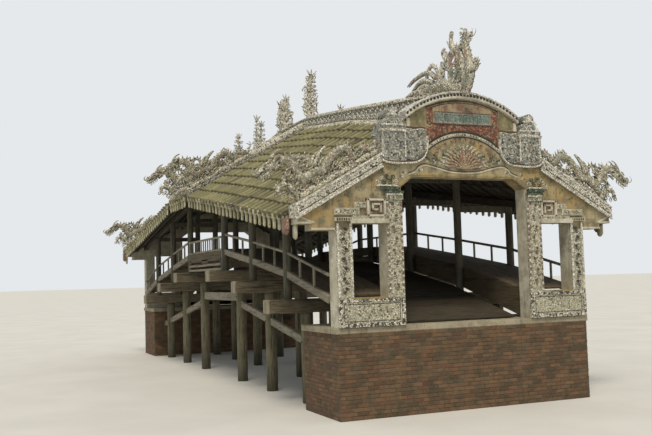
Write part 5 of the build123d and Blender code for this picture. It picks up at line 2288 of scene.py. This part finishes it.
@dataclass
class Woodwork:
    """The planks, benches, railings, balcony, piers and ties, each timber by itself."""

    palette: Palette
    plank: float = 0.04
    plank_width: float = 0.21
    gap: float = 0.007
    deck_half: float = 1.34
    joists: tuple[float, ...] = (-1.15, -0.40, 0.40, 1.15)
    joist: Flat = (0.11, 0.12)
    joist_end: float = 8.5
    bench: Flat = (1.55, 2.87)
    bench_boards: int = 5
    riser: float = 0.03
    rail_rise: float = 0.42
    edge_beam: Flat = (0.08, 0.16)
    rail: Flat = (0.06, 0.06)
    baluster: Flat = (0.046, 0.05)
    balcony_sides: Flat = (-2.96, -3.01)
    balcony_half: float = 1.8
    balcony_rails: tuple[Flat, ...] = ((2.12, 2.18), (1.785, 1.835), (1.383, 1.445), (1.256, 1.318))
    balcony_boards: tuple[Flat, ...] = ((1.545, 1.665), (1.667, 1.787))
    slats: int = 15
    slot_teeth: int = 7
    slot: Flat = (0.33, 1.60)
    cap: Point = (3.44, 0.35, 0.30)
    cap_tops: tuple[float, ...] = (1.24, 0.94, 0.515)
    posts: tuple[float, ...] = (-2.49, -0.80, 0.80, 2.49)
    post: float = 0.14
    tie_x: float = 2.49
    level_tie: Flat = (0.10, 0.23)
    slant_tie: Flat = (0.10, 0.18)
    pegs: tuple[Flat, ...] = ((1.9, 0.515), (1.9, 0.30), (4.3, -0.06), (6.7, -0.43))
    chance: random.Random = field(default_factory=lambda: random.Random(31))

    def bays(self) -> list[Flat]:
        """Return the ends of every bay along the bridge."""
        ends = [-LINES.wall, *(-y for y in reversed(LINES.stations)), *LINES.stations, LINES.wall]
        return list(zip(ends, ends[1:]))

    def run(
        self,
        shape: Shape,
        rises: Sequence[float],
        x: float,
        bay: Flat,
        drop: float,
        width: float,
        depth: float,
        chamfer: float = 0.008,
    ) -> None:
        """Lay one timber along a bay under a line.

        Args:
            shape: The shape that gathers it.
            rises: The line.
            x: Its middle across the bridge.
            bay: Its ends along the bridge.
            drop: How far its top lies under the line.
            width: Its width.
            depth: Its depth.
            chamfer: Its chamfer.
        """
        ends = [(x, y, LINES.along(rises, y) - drop - depth / 2) for y in bay]
        shape.joined(beam(*ends, width, depth, UP, chamfer, self.chance.uniform(0.0, 0.7)))

    def walkway(self) -> None:
        """Lay the planks across and the joists under them."""
        planks, joists = Shape(), Shape()
        for y0, y1 in self.bays():
            slope = (LINES.along(LINES.deck, y1) - LINES.along(LINES.deck, y0)) / (y1 - y0)
            up = Vector((0, -slope, 1)).normalized()
            length = math.hypot(y1 - y0, slope * (y1 - y0))
            count = round(length / self.plank_width)
            for k in range(count):
                y = y0 + (y1 - y0) * (k + 0.5) / count
                sink = self.plank / 2 + self.chance.uniform(0, 0.003)
                middle = Vector((0, y, LINES.along(LINES.deck, y))) - up * sink
                reach = Vector((self.deck_half - self.chance.uniform(0, 0.02), 0, 0))
                width, shade = length / count - self.gap, self.chance.random()
                planks.joined(beam(middle - reach, middle + reach, width, self.plank, up, 0.005, shade))
            for x in self.joists:
                bay = (max(y0, -self.joist_end), min(y1, self.joist_end))
                self.run(joists, LINES.deck, x, bay, self.plank, *self.joist)
        ride(planks.make("walkway_planks", self.palette["plank"]), "timber", "walkway")
        ride(joists.make("walkway_joists", self.palette["timber"]), "timber", "walkway")

    def benches(self, side: Side) -> None:
        """Board one bench and its riser.

        Args:
            side: The bench's side.
        """
        seat, riser = Shape(), Shape()
        inner, outer = self.bench
        width = (outer - inner) / self.bench_boards
        for bay in self.bays():
            for k in range(self.bench_boards):
                x = side.value * (inner + width * (k + 0.5))
                self.run(seat, LINES.bench, x, bay, 0.0, width - self.gap, self.plank, 0.006)
            x = side.value * (inner + self.riser / 2)
            low, high = ([LINES.along(rises, y) - self.plank for y in bay] for rises in (LINES.deck, LINES.bench))
            depths = [(b - a) / 2 - 0.004 for a, b in zip(low, high)]
            for part in (0.25, 0.75):
                ends = [(x, y, a + (b - a) * part) for y, a, b in zip(bay, low, high)]
                shade = self.chance.uniform(0.0, 0.7)
                riser.joined(beam(*ends, self.riser, depths[0], UP, 0.005, shade, depths[1] - depths[0]))
        label = side.name.lower()
        ride(seat.make(f"bench_seat_{label}", self.palette["timber_brown"]), "timber", f"bench_{label}")
        ride(riser.make(f"bench_riser_{label}", self.palette["timber_brown"]), "timber", f"bench_{label}")

    def railing(self, side: Side) -> None:
        """Set one side's edge beam, rails and balusters; the balcony has the place of the middle rail on the left.

        Args:
            side: The side.
        """
        low, rails = Shape(), Shape()
        x = side.value * LINES.outer_column
        line = [rise + self.rail_rise for rise in LINES.bench]
        for bay in self.bays():
            self.run(low, LINES.bench, x, bay, 0.0, *self.edge_beam, 0.012)
            if bay[0] < 0 < bay[1] and side is Side.LEFT:
                continue
            self.run(rails, line, x, bay, 0.0, *self.rail, 0.014)
            for k in (1, 2):
                y = bay[0] + (bay[1] - bay[0]) * k / 3
                foot = (x, y, LINES.along(LINES.bench, y) - 0.01)
                head = (x, y, LINES.along(line, y) - 0.05)
                rails.joined(beam(foot, head, *self.baluster, ALONG, 0.009, self.chance.uniform(0, 0.5)))
        label = side.name.lower()
        ride(low.make(f"edge_beam_{label}", self.palette["timber_pale"]), "timber", f"railing_{label}")
        ride(rails.make(f"rails_{label}", self.palette["timber_pale"]), "timber", f"railing_{label}")

    def stick(
        self, shape: Shape, x: float, ends: Sequence[Flat], size: Flat, chamfer: float, shade: float = 0.0
    ) -> None:
        """Add a level or upright timber of the balcony.

        Args:
            shape: The shape that gathers it.
            x: Its middle across the bridge.
            ends: Its two ends along the bridge and above the approach.
            size: Its width across the bridge and its depth.
            chamfer: Its chamfer.
            shade: How much darker it is than its fellows.
        """
        up = ALONG if ends[0][0] == ends[1][0] else UP
        a, b = ((x, y, LINES.approach + z) for y, z in ends)
        shape.joined(beam(a, b, *size, up, chamfer, shade))

    def balcony(self) -> None:
        """Build the altar balcony: top rail, slats, sill, boards with two scalloped slots and two low rails."""
        rails, boards = Shape(), Shape()
        (inner, outer), half = self.balcony_sides, self.balcony_half
        x = (inner + outer) / 2
        for low, high in self.balcony_rails:
            z = (low + high) / 2
            self.stick(rails, x, ((-half, z), (half, z)), (0.05, high - low), 0.014 if low > 2 else 0.01)
        for k in range(1, self.slats):
            y = -half + 2 * half * k / self.slats
            self.stick(rails, x, ((y, 1.83), (y, 2.125)), (0.03, 0.03), 0.006, self.chance.uniform(0, 0.6))
        x = inner - 0.0125
        for hand in (-1, 1):
            y = hand * (half - 0.03)
            self.stick(rails, x, ((y, 1.256), (y, 2.15)), (0.025, 0.06), 0.006)
            for y0, y1 in ((0.05, self.slot[0]), (self.slot[1], 1.76)):
                y = hand * (y0 + y1) / 2
                self.stick(boards, x, ((y, 1.44), (y, 1.59)), (0.025, y1 - y0), 0.004, 0.3)
            self.stick(boards, x, [(hand * y, 1.455) for y in self.slot], (0.025, 0.025), 0.004, 0.2)
            self.teeth(boards, hand)
        self.stick(boards, x, ((0, 1.44), (0, 1.59)), (0.025, 0.1), 0.004, 0.2)
        for low, high in self.balcony_boards:
            z = (low + high) / 2
            ends = ((-half + 0.06, z), (half - 0.06, z))
            self.stick(boards, x, ends, (0.025, high - low), 0.005, self.chance.uniform(0, 0.5))
        ride(rails.make("balcony_rails", self.palette["timber_pale"]), "timber", "balcony")
        ride(boards.make("balcony_boards", self.palette["timber_brown"]), "timber", "balcony")

    def teeth(self, boards: Shape, hand: int) -> None:
        """Hang the scalloped teeth over one of the balcony's two slots.

        Args:
            boards: The shape that gathers them.
            hand: Which slot, 1 or -1.
        """
        face, step = self.balcony_sides[0] - 0.004, (self.slot[1] - self.slot[0]) / self.slot_teeth
        for k in range(self.slot_teeth):
            middle = hand * (self.slot[0] + step * (k + 0.5))
            outline = []
            for angle in (math.radians(a) for a in range(0, 181, 30)):
                y, z = middle + hand * step / 2 * math.cos(angle), 1.545 - 0.03 * math.sin(angle)
                outline.append((face, y, LINES.approach + z))
            boards.slab(outline, (-0.019, 0.0, 0.0), 0.3)

    def pole(self, x: float, y: float, height: float) -> Shape:
        """Peel a slightly uneven log that stands on the ground, its foot a little worn.

        Args:
            x: Its place across the bridge.
            y: Its place along the bridge.
            height: Its height.

        Returns:
            The log.
        """
        shape = Shape()
        start, lean = self.chance.uniform(0, 6), self.chance.uniform(0, 6)
        rings = []
        for z in (0.0, 0.02, *(height * k / 8 for k in range(1, 8)), height - 0.14, height - 0.11, height):
            ring = []
            for angle in (2 * math.pi * k / 16 for k in range(16)):
                swell = 0.985 + 0.012 * math.sin(3 * angle + start + z) + 0.008 * math.sin(5 * angle - 2 * z + lean)
                reach = self.post * swell * (1.0 if z else 0.96)
                ring.append((x + reach * math.cos(angle), y + reach * math.sin(angle), z))
            rings.append(ring)
        shape.loft(rings, self.chance.uniform(0.0, 0.6))
        return shape

    def piers(self) -> None:
        """Set the log posts, the cap beams and their silvered ends."""
        half, width, depth = self.cap
        for index, station in enumerate(LINES.stations):
            top = LINES.approach + self.cap_tops[index]
            z = top - depth / 2
            for end in End:
                number = 3 - index if end is End.NEAR else 4 + index
                y = end.value * station
                logs = Shape().joined(*(self.pole(x, y, top - depth + 0.005) for x in self.posts))
                cap = beam((-half + 0.01, y, z), (half - 0.01, y, z), width, depth, UP, 0.022)
                tips = Shape()
                for hand in (-1, 1):
                    for row in (-0.5, 0.5):
                        a, b = ((hand * x, y + row * (width / 2 + 0.004), z) for x in (half - 0.06, half))
                        tips.joined(beam(a, b, width / 2 - 0.008, depth - 0.004, UP, 0.014, 0.2 * (row > 0)))
                for shape, name, finish, smooth in (
                    (logs, "posts", "pier", True),
                    (cap, "cap_beam", "timber_cross", False),
                    (tips, "cap_ends", "end_grain", False),
                ):
                    obj = shape.make(f"{name}_{number}", self.palette[finish], smooth)
                    ride(obj, "pier_timber", f"bent_{number}")

    def ties(self) -> None:
        """Set the level and the slanted ties between the outer posts, with pegs."""
        shape, pegs = Shape(), Shape()
        low, peg_face = LINES.approach, self.tie_x + self.post - 0.01
        for side in Side:
            x = side.value * self.tie_x
            shape.joined(beam((x, -1.9, low + 0.515), (x, 1.9, low + 0.515), *self.level_tie, UP, 0.014))
            for end in End:
                a, b = ((x, end.value * y, low + rise - 0.09) for y, rise in ((7.6, -0.48), (1.9, 0.42)))
                shape.joined(beam(a, b, *self.slant_tie, UP, 0.014, 0.25))
                for y, rise in self.pegs:
                    peg = [(side.value * (peg_face + out), end.value * y, low + rise) for out in (0.0, 0.022, 0.03)]
                    pegs.tube(peg, [0.022, 0.022, 0.012], 8, 0.0, 1.0, (0.0, 0.0, 1.0))
        ride(shape.make("lower_ties_hewn", self.palette["timber_pale"]), "timber", "lower_ties")
        ride(pegs.make("tie_pegs", self.palette["timber_brown"]), "timber")

    def build(self) -> None:
        """Build all the woodwork."""
        self.walkway()
        for side in Side:
            self.benches(side)
            self.railing(side)
        self.balcony()
        self.piers()
        self.ties()


@dataclass
class Bridge:
    """The whole bridge, sub-assembly by sub-assembly."""

    palette: Palette = field(default_factory=Palette)

    def build(self) -> None:
        """Make the finishes, dress the frame and build every sub-assembly in order."""
        self.palette.build()
        Frame(self.palette).build()
        TiledRoof(self.palette).build()
        RidgeDress(self.palette).build()
        Dragons(self.palette).build()
        Portal(self.palette).build()
        Masonry(self.palette).build()
        Woodwork(self.palette).build()


def corners(box: tuple[Vector, Vector]) -> list[list[float]]:
    """Return a box as plain lists."""
    return [list(box[0]), list(box[1])]


def main() -> None:
    """Build the bridge."""
    logging.basicConfig(level=logging.INFO, format="%(message)s")
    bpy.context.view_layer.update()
    Stage().build()
    Bridge().build()


if __name__ == "__main__":
    main()
